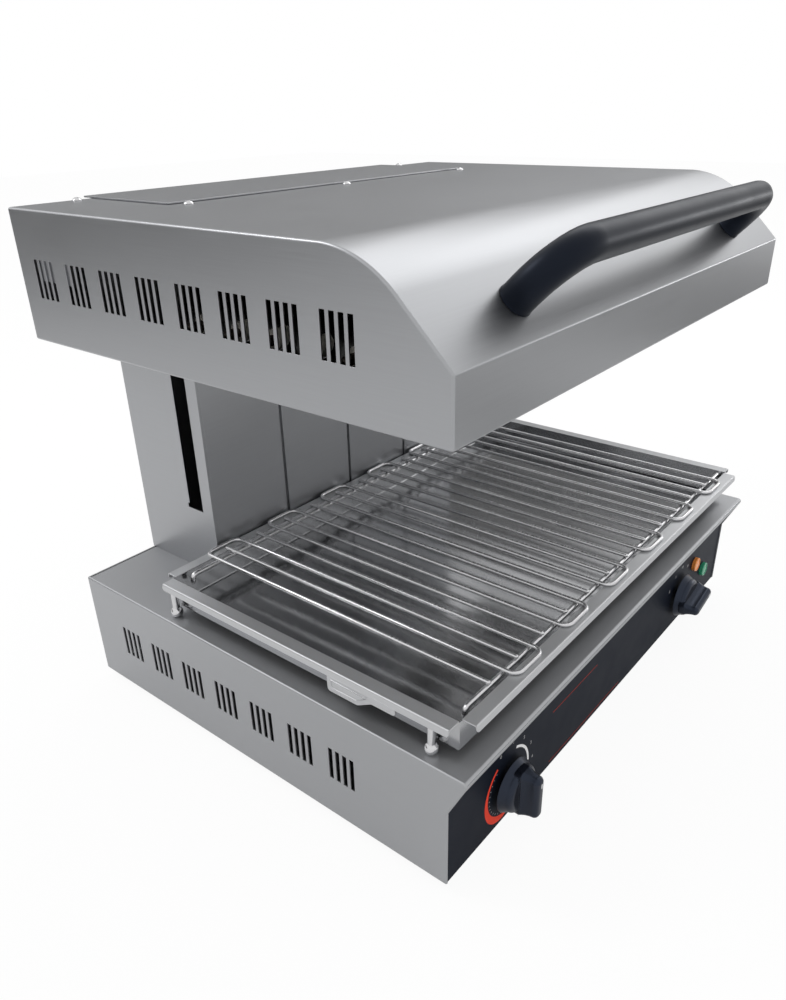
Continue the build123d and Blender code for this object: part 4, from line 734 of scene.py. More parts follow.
def make_slotted_sheet():
    """Tree that cuts groups of slots, and the openings of another object, out of a hollow block."""
    tree, build, given, result = new_shape_group("slotted_sheet", [
        ("Openings", "Object"), ("Slot Size", "Vector"), ("First Slot", "Vector"),
        ("Slot Step", "Vector"), ("Slots", "Int"), ("Group Step", "Vector"), ("Groups", "Int"),
    ])
    box = build.first("GeometryNodeMeshCube", {"Size": given["Slot Size"]})
    row = build.first("GeometryNodeMeshLine", {
        "Count": given["Slots"], "Start Location": given["First Slot"], "Offset": given["Slot Step"]
    }, mode="OFFSET")
    group = build.first("GeometryNodeInstanceOnPoints", {"Points": row, "Instance": box})
    starts = build.first("GeometryNodeMeshLine", {
        "Count": given["Groups"], "Offset": given["Group Step"]
    }, mode="OFFSET")
    groups = build.first("GeometryNodeInstanceOnPoints", {"Points": starts, "Instance": group})
    openings = build.add("GeometryNodeObjectInfo", {"Object": given["Openings"]})
    cut = build.add("GeometryNodeMeshBoolean", {
        "Mesh 1": given["Geometry"], "Self Intersection": True,
        "Mesh 2": build.first("GeometryNodeRealizeInstances", {0: groups}),
    }, operation="DIFFERENCE", solver="EXACT")
    build.put(openings.outputs["Geometry"], cut.inputs["Mesh 2"])
    end_shape_group(build, given, result, cut.outputs[0])
    return tree


def folded_block(corners, half, inset, fold):
    """A block along X with an outline in Y and Z, whose side edges are folded round."""
    loops = []
    for side, turns in ((-1, QUARTER[::-1]), (1, QUARTER)):
        for turn in turns:
            x = side * (half - inset - fold * (1 - math.sin(turn)))
            outline = rounded_outline(corners, inset + fold * (1 - math.cos(turn)))
            loops.append([Vector((x, point.x, point.y)) for point in outline])
    return loft(loops)


def hollow_block(corners, half, sheet):
    """A folded block with a hollow that leaves one sheet's thickness all round."""
    outer = folded_block(corners, half, 0.0, sheet.fold)
    inner = folded_block(corners, half, sheet.sheet, sheet.fold - sheet.sheet)
    bmesh.ops.reverse_faces(inner, faces=inner.faces)
    return joined(outer, inner)


def add_shell(name, node, corners, sizes, sheet, openings, finish):
    """A folded sheet shell in place of a node, with its side slots and its openings cut out."""
    low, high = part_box(node)
    cutter = linked("openings", mesh_from(joined(*openings)))
    first = Vector((0.0, high.y - sizes.rear_inset, low.z + sizes.slot_rise + sizes.slot_length / 2))
    block = mesh_from(hollow_block(corners, high.x, sheet))
    mesh = settled(block, tree=group_named("slotted_sheet", make_slotted_sheet), values={
        "Openings": cutter, "Material": bpy.data.materials[finish],
        "Slot Size": (2 * (high.x + OVERRUN), sizes.slot_width, sizes.slot_length),
        "First Slot": first, "Slot Step": (0.0, -sizes.slot_pitch, 0.0), "Slots": sizes.slots,
        "Group Step": (0.0, -sizes.group_pitch, 0.0), "Groups": sizes.groups,
    })
    bpy.data.objects.remove(cutter)
    new_piece(name, softened(mesh, sheet.cut_edge), finish, node, [node])


def build_base_shell(scene):
    """Deck, sides, rear edge and front strips of the base, open below and behind."""
    sheet = scene.grill_sheet
    base = scene.grill_base
    half = BASE_HIGH.x
    front = PANEL_HIGH.y - 2 * sheet.sheet
    bend_z = BASE_LOW.z + base.upright
    fold = sheet.fold
    corners = [
        (front, BASE_LOW.z, fold, FOLD_STEPS), (BASE_HIGH.y, BASE_LOW.z, fold, FOLD_STEPS),
        (BASE_HIGH.y, BASE_HIGH.z, fold, FOLD_STEPS),
        (front - base.nose_out, BASE_HIGH.z, base.nose_radius, BEND_STEPS),
        (front, bend_z, fold, FOLD_STEPS),
    ]
    inside = half - sheet.sheet
    window = half - base.strip
    well = (COLUMN_HIGH.x - COLUMN_LOW.x) / 2 - base.well_inset
    top = BASE_HIGH.z
    openings = [
        box_between((-inside, front + sheet.sheet, BASE_LOW.z - OVERRUN),
                    (inside, BASE_HIGH.y + OVERRUN, BASE_LOW.z + sheet.fold)),
        box_between((-inside, BASE_HIGH.y - 2 * sheet.fold, BASE_LOW.z - OVERRUN),
                    (inside, BASE_HIGH.y + OVERRUN, top - sheet.sheet)),
        box_between((-window, front - 2 * base.nose_out, BASE_LOW.z - OVERRUN),
                    (window, front + 2 * sheet.fold, top - base.nose_lip)),
        box_between((COLUMN_MIDDLE - well, COLUMN_LOW.y + base.well_front, top - 2 * sheet.fold),
                    (COLUMN_MIDDLE + well, COLUMN_HIGH.y - base.well_inset, top + OVERRUN)),
    ]
    add_shell("base_skin", "base_shell", corners, base, sheet, openings, "deck_sheet")


def build_hood_skin(scene):
    """Top, curved front, slotted sides and bottom flanges of the hood, with its column notch."""
    sheet = scene.grill_sheet
    hood = scene.grill_hood
    half = HOOD_HIGH.x
    fold = sheet.fold
    slope_z = HOOD_LOW.z + hood.face_height
    bend_y = HOOD_LOW.y + (HOOD_HIGH.z - slope_z) / math.tan(hood.slope)
    corners = [
        (HOOD_LOW.y, HOOD_LOW.z, fold, FOLD_STEPS), (HOOD_HIGH.y, HOOD_LOW.z, fold, FOLD_STEPS),
        (HOOD_HIGH.y, HOOD_HIGH.z, fold, FOLD_STEPS),
        (bend_y, HOOD_HIGH.z, hood.curve_radius, CURVE_STEPS),
        (HOOD_LOW.y, slope_z, hood.face_fold, FOLD_STEPS),
    ]
    rim = sheet.sheet + sheet.flange
    notch = (COLUMN_HIGH.x - COLUMN_LOW.x) / 2 + hood.notch_gap
    openings = [
        box_between((rim - half, HOOD_LOW.y + rim, HOOD_LOW.z - OVERRUN),
                    (half - rim, HOOD_HIGH.y - rim, HOOD_LOW.z + fold)),
        box_between((COLUMN_MIDDLE - notch, COLUMN_LOW.y - hood.notch_gap, HOOD_LOW.z - OVERRUN),
                    (COLUMN_MIDDLE + notch, HOOD_HIGH.y + OVERRUN, HOOD_HIGH.z + OVERRUN)),
    ]
    add_shell("hood_skin", "hood_shell", corners, hood, sheet, openings, "satin_sheet")


# Wire and tube work

def make_wire_tree():
    """Tree that lays a round wire along curves, thinner or thicker by their points' radius."""
    tree, build, given, result = new_shape_group(
        "wire_along_path", [("Radius", "Float"), ("Sides", "Int")]
    )
    wire = build.first("GeometryNodeCurveToMesh", {
        "Curve": given["Geometry"], "Scale": build.first("GeometryNodeInputRadius"),
        "Profile Curve": build.first("GeometryNodeCurvePrimitiveCircle", {
            "Resolution": given["Sides"], "Radius": given["Radius"]
        }),
        "Fill Caps": True,
    })
    smooth = build.first("GeometryNodeSetShadeSmooth", {"Geometry": wire})
    end_shape_group(build, given, result, smooth)
    return tree


def wire_mesh(paths, radius, sides, finish, closed=False):
    """A wire of that radius along each path."""
    return settled(
        path_curve(paths, closed), tree=group_named("wire_along_path", make_wire_tree),
        values={"Radius": radius, "Sides": sides, "Material": bpy.data.materials[finish]},
    )


def add_wires(name, paths, radius, sides, finish, node, replaces=(), closed=False):
    """A piece of wires that rides with a node's body."""
    new_piece(name, wire_mesh(paths, radius, sides, finish, closed), finish, node, replaces)


def build_rack(scene):
    """Hairpin wires that lie along the depth, and the two bars below them."""
    rack = scene.grill_rack
    radius = rack.wire_radius
    left = WIRES_LOW.x + radius
    pitch = (WIRES_HIGH.x - radius - left) / (rack.wires - 1)
    height = (WIRES_LOW.z + WIRES_HIGH.z) / 2
    front = WIRES_LOW.y + radius
    rear = WIRES_HIGH.y - radius
    paths = []
    for run in range(rack.wires):
        if run % 4 > 1:
            continue
        start, loop = (front + rack.front_start - radius, rear)
        if run % 4 == 1:
            start, loop = (rear - rack.rear_start + radius, front)
        near = left + run * pitch
        far = near + 2 * pitch
        corners = [(near, start, height), (near, loop, height), (far, loop, height), (far, start, height)]
        paths.append(domed(bent_path(corners, rack.bend), radius))
    add_wires("rack_hairpins", paths, radius, WIRE_SIDES, "drawn_wire", "rack_wires", ["rack_wires"])
    bar = rack.bar_radius
    level = BARS_LOW.z + bar
    low = level - rack.bar_drop
    west, east = BARS_LOW.x + bar, BARS_HIGH.x - bar
    bars = [
        domed(bent_path([(west, y, low), (west, y, level), (east, y, level), (east, y, low)],
                        rack.bar_bend), bar)
        for y in (BARS_LOW.y + bar, BARS_HIGH.y - bar)
    ]
    add_wires("rack_bars", bars, bar, ROD_SIDES, "drawn_wire", "rack_cross_bars", ["rack_cross_bars"])


def build_heaters(scene):
    """Bent heating elements and the wire guard below them."""
    heater = scene.grill_heater
    radius = heater.element_radius
    level = (ELEMENTS_LOW.z + ELEMENTS_HIGH.z) / 2
    middle = (ELEMENTS_LOW.y + ELEMENTS_HIGH.y) / 2
    left, right = ELEMENTS_LOW.x, ELEMENTS_HIGH.x - radius
    paths = []
    for index in range(heater.elements):
        y = middle + (index - (heater.elements - 1) / 2) * heater.element_pitch
        legs = (y - heater.leg_gap / 2, y + heater.leg_gap / 2)
        corners = [(left, legs[0], level), (right, legs[0], level),
                   (right, legs[1], level), (left, legs[1], level)]
        paths.append(domed(bent_path(corners, heater.element_bend), radius))
    elements = "heating_elements"
    add_wires("element_tubes", paths, radius, TUBE_SIDES, "oxidised_sheath", elements, [elements])

    rod = heater.guard_radius
    level = GUARD_LOW.z + rod
    west, east = GUARD_LOW.x + rod, GUARD_HIGH.x - rod
    south, north = GUARD_LOW.y + rod, GUARD_HIGH.y - rod
    ring = rounded_outline(rectangle((west, south), (east, north), heater.guard_bend, BEND_STEPS))
    frame = [((*point, level), 1.0) for point in ring]
    add_wires("guard_frame", [frame], rod, ROD_SIDES, "drawn_wire", "element_guard", ["element_guard"],
              closed=True)
    wire = heater.guard_wire
    level = GUARD_HIGH.z - wire
    first = west + heater.guard_end
    pitch = (east - west - 2 * heater.guard_end) / (heater.guard_wires - 1)
    wires = [
        domed([Vector((first + index * pitch, y, level)) for y in (south - rod, 0.0, north + rod)], wire)
        for index in range(heater.guard_wires)
    ]
    add_wires("guard_wires", wires, wire, WIRE_SIDES, "drawn_wire", "element_guard")


def build_handle(scene):
    """The hood's bent handle, its feet square to the slope."""
    handle = scene.grill_handle
    hood = scene.grill_hood
    up = Vector((0.0, math.cos(hood.slope), math.sin(hood.slope)))
    out = Vector((0.0, -math.sin(hood.slope), math.cos(hood.slope)))
    fold = Vector((0.0, HOOD_LOW.y, HOOD_LOW.z + hood.face_height))
    foot = fold + up * handle.foot_rise
    bar = foot + out * handle.standoff
    side = Vector((handle.foot_side, 0.0, 0.0))
    points = bent_path([foot - side, bar - side, bar + side, foot + side], handle.bend)
    wide = 1 + handle.flare / handle.radius
    rises = (0.0, 0.5, 1.0)
    flares = [(out * handle.flare_length * rise, wide - (wide - 1) * rise ** 2) for rise in rises]
    path = [(foot - side + reach, share) for reach, share in flares]
    path += [(point, 1.0) for point in points[1:-1]]
    path += [(foot + side + reach, share) for reach, share in flares[::-1]]
    mesh = softened(wire_mesh([path], handle.radius, BAR_SIDES, "handle_coating"), HANDLE_EDGE)
    new_piece("handle_bar", mesh, "handle_coating", "handle", ["handle"])


# Drip pan

def tray_mesh(pan, half, front, rear):
    """The open tray as one skin: floor, folded corners, walls and top edge."""
    low = PAN_LOW.z
    top = PAN_HIGH.z - pan.lap
    inner = pan.floor_fold - pan.sheet
    levels = [
        (low + pan.sheet + inner * (1 - math.cos(a)), pan.sheet + inner * (1 - math.sin(a)))
        for a in QUARTER
    ]
    levels += [(top, pan.sheet), (top, 0.0)]
    levels += [
        (low + pan.floor_fold * (1 - math.cos(a)), pan.floor_fold * (1 - math.sin(a)))
        for a in reversed(QUARTER)
    ]
    corners = rectangle((-half, front), (half, rear))
    return loft([
        [Vector((point.x, point.y, height)) for point in rounded_outline(corners, inset)]
        for height, inset in levels
    ])


def rim_strip(pan, length, width, lean):
    """A rim with its lip folded down, out along X and centred along Y, its lip's corners rounded."""
    sheet = pan.sheet
    fold = pan.rim_fold
    ends = [(pan.lip_corner * (1 - math.cos(a)), pan.lip_corner * (1 - math.sin(a))) for a in QUARTER]
    stations = [(reach - length / 2, short) for reach, short in ends]
    stations += [(length / 2 - reach, short) for reach, short in reversed(ends)]
    loops = []
    for along, short in stations:
        drop = pan.lip_height - short
        out = width + lean * drop / pan.lip_height
        outline = rounded_outline([
            (pan.lap, -sheet, 0.0, 0), (width - sheet, -sheet, fold - sheet, FOLD_STEPS),
            (out - sheet, -drop, 0.0, 0), (out, -drop, 0.0, 0),
            (width, 0.0, fold, FOLD_STEPS), (pan.lap, 0.0, 0.0, 0),
        ])
        loops.append([Vector((point.x, along, point.y)) for point in outline])
    return loft(loops)


def finger_grip(pan):
    """Grip below a side rim's lip, as a plate in the YZ plane with its top at the lip's lower edge."""
    front = -pan.grip_length
    corner = pan.grip_corner
    tail = front - pan.tail_length
    outline = rounded_outline([
        (tail, pan.sheet, 0.0, 0), (tail, -pan.tail_drop, corner, FOLD_STEPS),
        (front, -pan.tail_drop, corner, FOLD_STEPS),
        (front + pan.grip_slope, -pan.grip_drop, corner, FOLD_STEPS),
        (0.0, -pan.grip_drop, corner, FOLD_STEPS), (0.0, pan.sheet, 0.0, 0),
    ])
    return loft([[Vector((x, point.x, point.y)) for point in outline] for x in (-pan.sheet, 0.0)])


def grip_bead(pan):
    """Bead pressed into a finger grip's face, a closed wire in the grip's own frame."""
    inset = pan.bead_inset
    ring = rounded_outline([
        (inset - pan.grip_length, -inset / 2, 0.0, 0),
        (pan.grip_slope - pan.grip_length, inset - pan.grip_drop, pan.grip_corner, FOLD_STEPS),
        (-inset, inset - pan.grip_drop, pan.grip_corner, FOLD_STEPS), (-inset, -inset / 2, 0.0, 0),
    ])
    path = [(Vector((0.0, point.x, point.y)), 1.0) for point in ring]
    wire = wire_mesh([path], pan.bead_radius, BEAD_SIDES, "rim_sheet", closed=True)
    bead = bmesh.new()
    bead.from_mesh(wire)
    bpy.data.meshes.remove(wire)
    return bead


def build_pan(scene):
    """Tray, four rims with lips and the finger grips of the drip pan."""
    pan = scene.grill_pan
    reach = pan.rim_width + pan.lip_lean
    half = PAN_HIGH.x - reach
    front = PAN_LOW.y + reach
    rear = PAN_HIGH.y - pan.rear_rim_width - pan.rear_lean
    middle = (front + rear) / 2
    top = PAN_HIGH.z
    edge = scene.grill_sheet.cut_edge
    tray = softened(mesh_from(tray_mesh(pan, half + pan.sheet, front - pan.sheet, rear + pan.sheet)), edge)
    new_piece("pan_tray", tray, "pan_sheet", "drip_pan", ["drip_pan"])
    parts = []
    ends = 2 * (half - pan.end_trim)
    for turn, place, length, width, lean in (
        (0, (half, middle, top), rear - front, pan.rim_width, pan.lip_lean),
        (90, (0.0, rear, top), ends, pan.rear_rim_width, pan.rear_lean),
        (180, (-half, middle, top), rear - front, pan.rim_width, pan.lip_lean),
        (-90, (0.0, front, top), ends, pan.rim_width, pan.lip_lean),
    ):
        spin = Matrix.Translation(place) @ Matrix.Rotation(math.radians(turn), 4, "Z")
        parts.append(placed(rim_strip(pan, length, width, lean), spin))
    for side in (-1, 1):
        shift = Matrix.Translation((PAN_HIGH.x, front + pan.grip_rear, top - pan.lip_height))
        for part in (finger_grip(pan), grip_bead(pan)):
            parts.append(closed_up(placed(part, Matrix.Diagonal((side, 1.0, 1.0, 1.0)) @ shift)))
    new_piece("pan_rims", softened(mesh_from(joined(*parts)), edge), "rim_sheet", "drip_pan")


# Screws

def make_heads_tree():
    """Tree that sets a head on each point, its axis along the point's facing."""
    tree, build, given, result = new_shape_group("heads_on_points", [("Head", "Object")])
    facing = build.first("GeometryNodeInputNamedAttribute", {"Name": "facing"}, data_type="FLOAT_VECTOR")
    head = build.add("GeometryNodeObjectInfo", {"Object": given["Head"]})
    heads = build.first("GeometryNodeInstanceOnPoints", {
        "Points": given["Geometry"], "Instance": head.outputs["Geometry"],
        "Rotation": build.first("FunctionNodeAlignRotationToVector", {"Vector": facing}, axis="Z"),
    })
    end_shape_group(build, given, result, heads)
    return tree


def screw_head(hood):
    """A domed head with a cross recess, standing up from the origin."""
    ball = (hood.screw_radius ** 2 + hood.screw_height ** 2) / (2 * hood.screw_height)
    reach = math.asin(hood.screw_radius / ball)
    arc = [reach * (1 - step / BEND_STEPS) for step in range(BEND_STEPS + 1)]
    profile = [(0.0, 0.0)] + [
        (ball * math.sin(a), hood.screw_height - ball * (1 - math.cos(a))) for a in arc
    ]
    half = hood.recess_length / 2
    slim = hood.recess_width / 2
    deep = hood.screw_height / 2
    recess = mesh_from(joined(
        box_between((-half, -slim, deep), (half, slim, 2 * hood.screw_height)),
        box_between((-slim, -half, deep), (slim, half, 2 * hood.screw_height)),
    ))
    cutter = linked("recess", recess)
    head = mesh_from(lathe(profile))
    head.shade_smooth()
    mesh = settled(head, [
        ("BOOLEAN", {"object": cutter, "operation": "DIFFERENCE", "solver": "EXACT", "use_self": True}),
        ("WEIGHTED_NORMAL", {}),
    ])
    bpy.data.objects.remove(cutter)
    return mesh


def build_screws(scene):
    """Domed screws along the notch in the hood's top."""
    hood = scene.grill_hood
    side = (COLUMN_HIGH.x - COLUMN_LOW.x) / 2
    front = SCREWS_LOW.y + hood.screw_radius
    rear = SCREWS_HIGH.y - hood.screw_radius
    outer = SCREWS_HIGH.x - hood.screw_radius - COLUMN_MIDDLE
    inner = side - hood.screw_side
    bm = bmesh.new()
    for x, y in ((-inner, front), (0.0, front), (inner, front), (-outer, rear), (outer, rear)):
        bm.verts.new((COLUMN_MIDDLE + x, y, HOOD_HIGH.z))
    points = mesh_from(bm)
    facing = points.attributes.new("facing", "FLOAT_VECTOR", "POINT")
    for item in facing.data:
        item.vector = (0.0, 0.0, 1.0)
    head = linked("head", screw_head(hood))
    mesh = settled(points, tree=group_named("heads_on_points", make_heads_tree), values={
        "Head": head, "Material": bpy.data.materials["turned_steel"]
    })
    bpy.data.objects.remove(head)
    new_piece("hood_screw_heads", mesh, "turned_steel", "hood_screws", ["hood_screws"])


# Knobs, lamps and the panel's print

# The dials' arcs, ticks and numbers, by turns from 12 in degrees of the clock
WHITE_ARC = (20, 90)
RED_ARC = (-33, -180)
TICKS, FIRST_TICK, TICK_STEP = 15, -40, -10
POWER_DIGITS = [(str(mark), -20 + 28 * mark) for mark in range(5)]
TIMER_DIGITS = [(str(5 * mark), -60 + 32 * mark) for mark in range(4)]

# How deep the grips' flanks are hollowed, and how far round the red arc is widest
FLANK_POWER = 2.5
SWELL_POWER = 2.2


def on_panel(place, y, turn=0.0):
    """Matrix from a frame whose Z looks out of the panel and whose Y is up to a place on it."""
    upright = Matrix.Rotation(math.pi / 2, 4, "X")
    return Matrix.Translation((place.x, y, place.z)) @ upright @ Matrix.Rotation(turn, 4, "Z")


def middle_of(node):
    """Middle of a node's box, and the box's corners."""
    low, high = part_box(node)
    return (low + high) / 2, low, high


def knob_mesh(knob, radius, depth):
    """A coned skirt with a bar grip whose flanks are hollowed, looking along Z."""
    top = knob.skirt_depth
    edge = knob.skirt_edge
    front = radius - knob.skirt_taper
    arc = [math.pi / 2 * step / BEND_STEPS for step in range(BEND_STEPS + 1)]
    profile = [(0.0, 0.0), (radius, 0.0)]
    profile += [(front - edge + edge * math.cos(a), top - edge + edge * math.sin(a)) for a in arc]
    profile += [(0.0, top)]
    skirt = mesh_from(lathe(profile))
    skirt.shade_smooth()
    rise = depth - knob.grip_round - top
    levels = [(top / 2, 0.0, 0.0)]
    levels += [(top + rise * step / CURVE_STEPS, step / CURVE_STEPS, 0.0) for step in range(CURVE_STEPS)]
    levels += [(depth - knob.grip_round * (1 - math.sin(a)), 1.0, knob.grip_round * (1 - math.cos(a)))
               for a in arc]
    loops = []
    for height, share, inset in levels:
        long = (knob.grip_length - knob.grip_shrink * share) / 2
        slim = (knob.grip_width + knob.grip_spread * (1 - share) ** FLANK_POWER) / 2
        corners = rectangle((-slim, -long), (slim, long), knob.grip_corner, BEND_STEPS)
        outline = rounded_outline(corners, inset)
        loops.append([Vector((point.x, point.y, height)) for point in outline])
    grip = linked("grip", mesh_from(loft(loops)))
    whole = settled(skirt, [("BOOLEAN", {"object": grip, "operation": "UNION", "solver": "EXACT"})])
    bpy.data.objects.remove(grip)
    return softened(whole, knob.grip_edge)


def build_knobs(scene):
    """Both knobs, each with a light mark at its upper end."""
    knob = scene.grill_knob
    marks = scene.grill_print
    for node, turn in (("power_knob", 0.0), ("timer_knob", knob.timer_turn)):
        middle, low, high = middle_of(node)
        radius = (high.x - low.x) / 2
        depth = high.y - low.y
        place = on_panel(middle, high.y, turn)
        mesh = knob_mesh(knob, radius, depth)
        mesh.transform(place)
        new_piece(node + "_body", mesh, "knob_plastic", node, [node])
        end = (knob.grip_length - knob.grip_shrink) / 2 - knob.grip_corner
        mark = box_between((-marks.mark_width / 2, end - marks.mark_length, depth - marks.proud),
                           (marks.mark_width / 2, end, depth + marks.proud))
        new_piece(node + "_mark", mesh_from(placed(mark, place)), "white_print", node)


def build_lenses(scene):
    """Round lenses of the two lamps: a raised rim round a low dome."""
    knob = scene.grill_knob
    for node in ("amber_lens", "green_lens"):
        middle, low, high = middle_of(node)
        radius = (high.x - low.x) / 2
        depth = high.y - low.y
        rim = knob.lens_rim
        chamfer = knob.lens_chamfer
        inner = radius - rim
        arc = [step / BEND_STEPS for step in range(BEND_STEPS + 1)]
        profile = [(0.0, 0.0), (radius, 0.0), (radius, depth - chamfer), (radius - chamfer, depth)]
        profile += [(inner, depth), (inner, depth - chamfer)]
        profile += [(inner * (1 - share), depth - chamfer * (1 - share) ** 2) for share in arc]
        mesh = softened(mesh_from(lathe(profile)), chamfer / 4)
        mesh.transform(on_panel(middle, high.y))
        new_piece(node + "_dome", mesh, node, node, [node])


def printed_arc(turns, inner, outer, proud):
    """A thin printed arc between two turns; outer gives its outer radius at a share along."""
    start, end = turns
    loops = []
    for step in range(LATHE_STEPS + 1):
        share = step / LATHE_STEPS
        turn = math.radians(start + (end - start) * share)
        ray = Vector((math.sin(turn), math.cos(turn), 0.0))
        near, far = ray * inner, ray * outer(share)
        lift = Vector((0.0, 0.0, proud))
        loops.append([near - lift, far - lift, far + lift, near + lift])
    return loft(loops)


def make_tick_tree():
    """Tree that sets small bars round a centre, each square to its ray, in the XY plane."""
    tree, build, given, result = new_shape_group("dial_ticks", [
        ("Ticks", "Int"), ("Radius", "Float"), ("Tick Size", "Vector"), ("First Turn", "Float"),
        ("Turn Step", "Float"),
    ])
    line = build.first("GeometryNodeMeshLine", {
        "Count": given["Ticks"], "Offset": (0.0, 0.0, 0.0)
    }, mode="OFFSET")
    index = build.first("GeometryNodeInputIndex")
    turn = build.math("MULTIPLY_ADD", index, given["Turn Step"], given["First Turn"])
    across, up = (
        build.math("MULTIPLY", build.math(wave, turn), given["Radius"]) for wave in ("SINE", "COSINE")
    )
    points = build.first("GeometryNodeSetPosition", {
        "Geometry": line, "Position": build.first("ShaderNodeCombineXYZ", {"X": across, "Y": up})
    })
    spin = build.first("ShaderNodeCombineXYZ", {"Z": build.math("MULTIPLY", turn, -1.0)})
    ticks = build.first("GeometryNodeInstanceOnPoints", {
        "Points": points, "Rotation": build.first("FunctionNodeEulerToRotation", {0: spin}),
        "Instance": build.first("GeometryNodeMeshCube", {"Size": given["Tick Size"]}),
    })
    end_shape_group(build, given, result, ticks)
    return tree


def digits_mesh(texts, radius, height, proud):
    """Printed numbers on a ring, given as (text, turn)."""
    parts = []
    for text, turn in texts:
        words = bpy.data.curves.new("digits", "FONT")
        words.body = text
        words.size = height
        words.align_x = "CENTER"
        words.align_y = "CENTER"
        words.extrude = proud
        words.resolution_u = DIGIT_STEPS
        mesh = settled(words)
        bm = bmesh.new()
        bm.from_mesh(mesh)
        bmesh.ops.remove_doubles(bm, verts=bm.verts, dist=WELD)
        turn = math.radians(turn)
        shift = Vector((math.sin(turn), math.cos(turn), 0.0)) * radius
        parts.append(placed(bm, Matrix.Translation(shift)))
    return mesh_from(joined(*parts))


def build_print(scene):
    """Scales round both knobs and two plain lines on the panel."""
    ink = scene.grill_print
    face = PANEL_HIGH.y - scene.grill_sheet.sheet
    power = middle_of("power_knob")[0]
    timer = middle_of("timer_knob")[0]
    inner = ink.arc_radius - ink.arc_width
    at_power = on_panel(power, face)
    at_timer = on_panel(timer, face)

    def swell(share):
        return ink.arc_radius + ink.crescent_swell * math.sin(math.pi * share ** SWELL_POWER)

    white = printed_arc(WHITE_ARC, inner, lambda share: ink.arc_radius, ink.proud)
    red = printed_arc(RED_ARC, inner, swell, ink.proud)
    for name, bm, finish in (("white_arc", white, "white_print"), ("red_arc", red, "red_print")):
        new_piece(name, mesh_from(placed(bm, at_power)), finish, "control_panel")
    ticks = settled(bpy.data.meshes.new("ticks"), tree=group_named("dial_ticks", make_tick_tree), values={
        "Ticks": TICKS, "Radius": ink.tick_radius, "First Turn": math.radians(FIRST_TICK),
        "Tick Size": (ink.tick_width, ink.tick_length, 2 * ink.proud),
        "Turn Step": math.radians(TICK_STEP), "Material": bpy.data.materials["grey_print"],
    })
    ticks.transform(at_power)
    new_piece("power_ticks", ticks, "grey_print", "control_panel")
    for name, texts, radius, place in (
        ("power_digits", POWER_DIGITS, ink.power_digit_radius, at_power),
        ("timer_digits", TIMER_DIGITS, ink.timer_digit_radius, at_timer),
    ):
        mesh = digits_mesh(texts, radius, ink.digit_height, ink.proud)
        mesh.transform(place)
        new_piece(name, mesh, "grey_print", "control_panel")
    lines = []
    for long, rise in ((ink.upper_line, ink.line_spread), (ink.lower_line, -ink.line_spread)):
        z = ink.line_middle + rise
        lines.append(box_between((-ink.line_left, face - ink.proud, z - ink.line_width / 2),
                                 (long - ink.line_left, face + ink.proud, z + ink.line_width / 2)))
    new_piece("panel_lines", mesh_from(joined(*lines)), "dull_red_print", "control_panel")


# The stage, its camera's place and aim, and the picture's middle, as found from the photograph
PHOTO_WIDTH = 786
PHOTO_HEIGHT = 1000
CAMERA_PLACE = Vector((-0.6659, -0.4898, 0.5734))
CAMERA_AZIMUTH = math.radians(-50.65)
CAMERA_DROP = math.radians(27.43)
CAMERA_ROLL = math.radians(-1.31)
FOCAL_PIXELS = 810.1
AXIS_PIXEL = (397.5, 523.1)
SENSOR = 36.0
CLIP_START = 10 * MM

# The floor's half width, how white it and the sky are seen, and what shapes the reflections:
# lamps by place, size and power, and cards by place, what they face, and size
FLOOR_HALF = 8.0
FLOOR_WHITE_SHARE = 0.93
FLOOR_MIRROR_SHARE = 0.15
SKY_STRENGTH = 0.9
LAMP_TARGET = (0.0, 0.0, 0.3)
LAMPS = [
    ("right_lamp", (1.42, 0.21, 2.06), (1.5, 1.1), 8),
    ("band_lamp", (2.15, -0.15, 1.55), (1.2, 0.9), 4),
    ("edge_lamp", (-1.07, 1.46, 2.1), (0.6, 0.6), 13),
    ("fold_lamp", (2.3, -1.1, 0.55), (0.5, 0.2), 3),
]
CARDS = [
    ("left_rear_card", (-1.7, 1.9, 0.35), LAMP_TARGET, (2.2, 0.9)),
    ("right_rear_card", (1.75, 1.45, 0.8), LAMP_TARGET, (3.2, 1.25)),
    ("low_card", (1.95, -1.1, 0.02), (1.95, -1.1, 1.0), (1.5, 1.6)),
    ("near_card", (0.6, -0.85, 0.02), (0.6, -0.85, 1.0), (0.45, 0.6)),
]


def aim_matrix(azimuth, drop, roll):
    """Turn of a camera that looks along an azimuth, down by a drop, and rolls about its axis."""
    forward = Vector((
        -math.sin(azimuth) * math.cos(drop), math.cos(azimuth) * math.cos(drop), -math.sin(drop)
    ))
    turn = forward.to_track_quat("-Z", "Y").to_matrix().to_4x4()
    return turn @ Matrix.Rotation(roll, 4, "Z")


def add_camera():
    """The photograph's camera."""
    data = bpy.data.cameras.new("photo_camera")
    data.sensor_width = SENSOR
    data.lens = FOCAL_PIXELS / PHOTO_HEIGHT * SENSOR
    data.shift_x = (PHOTO_WIDTH / 2 - AXIS_PIXEL[0]) / PHOTO_HEIGHT
    data.shift_y = (AXIS_PIXEL[1] - PHOTO_HEIGHT / 2) / PHOTO_HEIGHT
    data.clip_start = CLIP_START
    camera = linked("photo_camera", data)
    turn = aim_matrix(CAMERA_AZIMUTH, CAMERA_DROP, CAMERA_ROLL)
    camera.matrix_world = Matrix.Translation(CAMERA_PLACE) @ turn
    bpy.context.scene.camera = camera


def facing_matrix(place, target):
    """Place and turn of something that looks from a place to a target."""
    place = Vector(place)
    turn = (Vector(target) - place).to_track_quat("-Z", "Y").to_matrix().to_4x4()
    return Matrix.Translation(place) @ turn


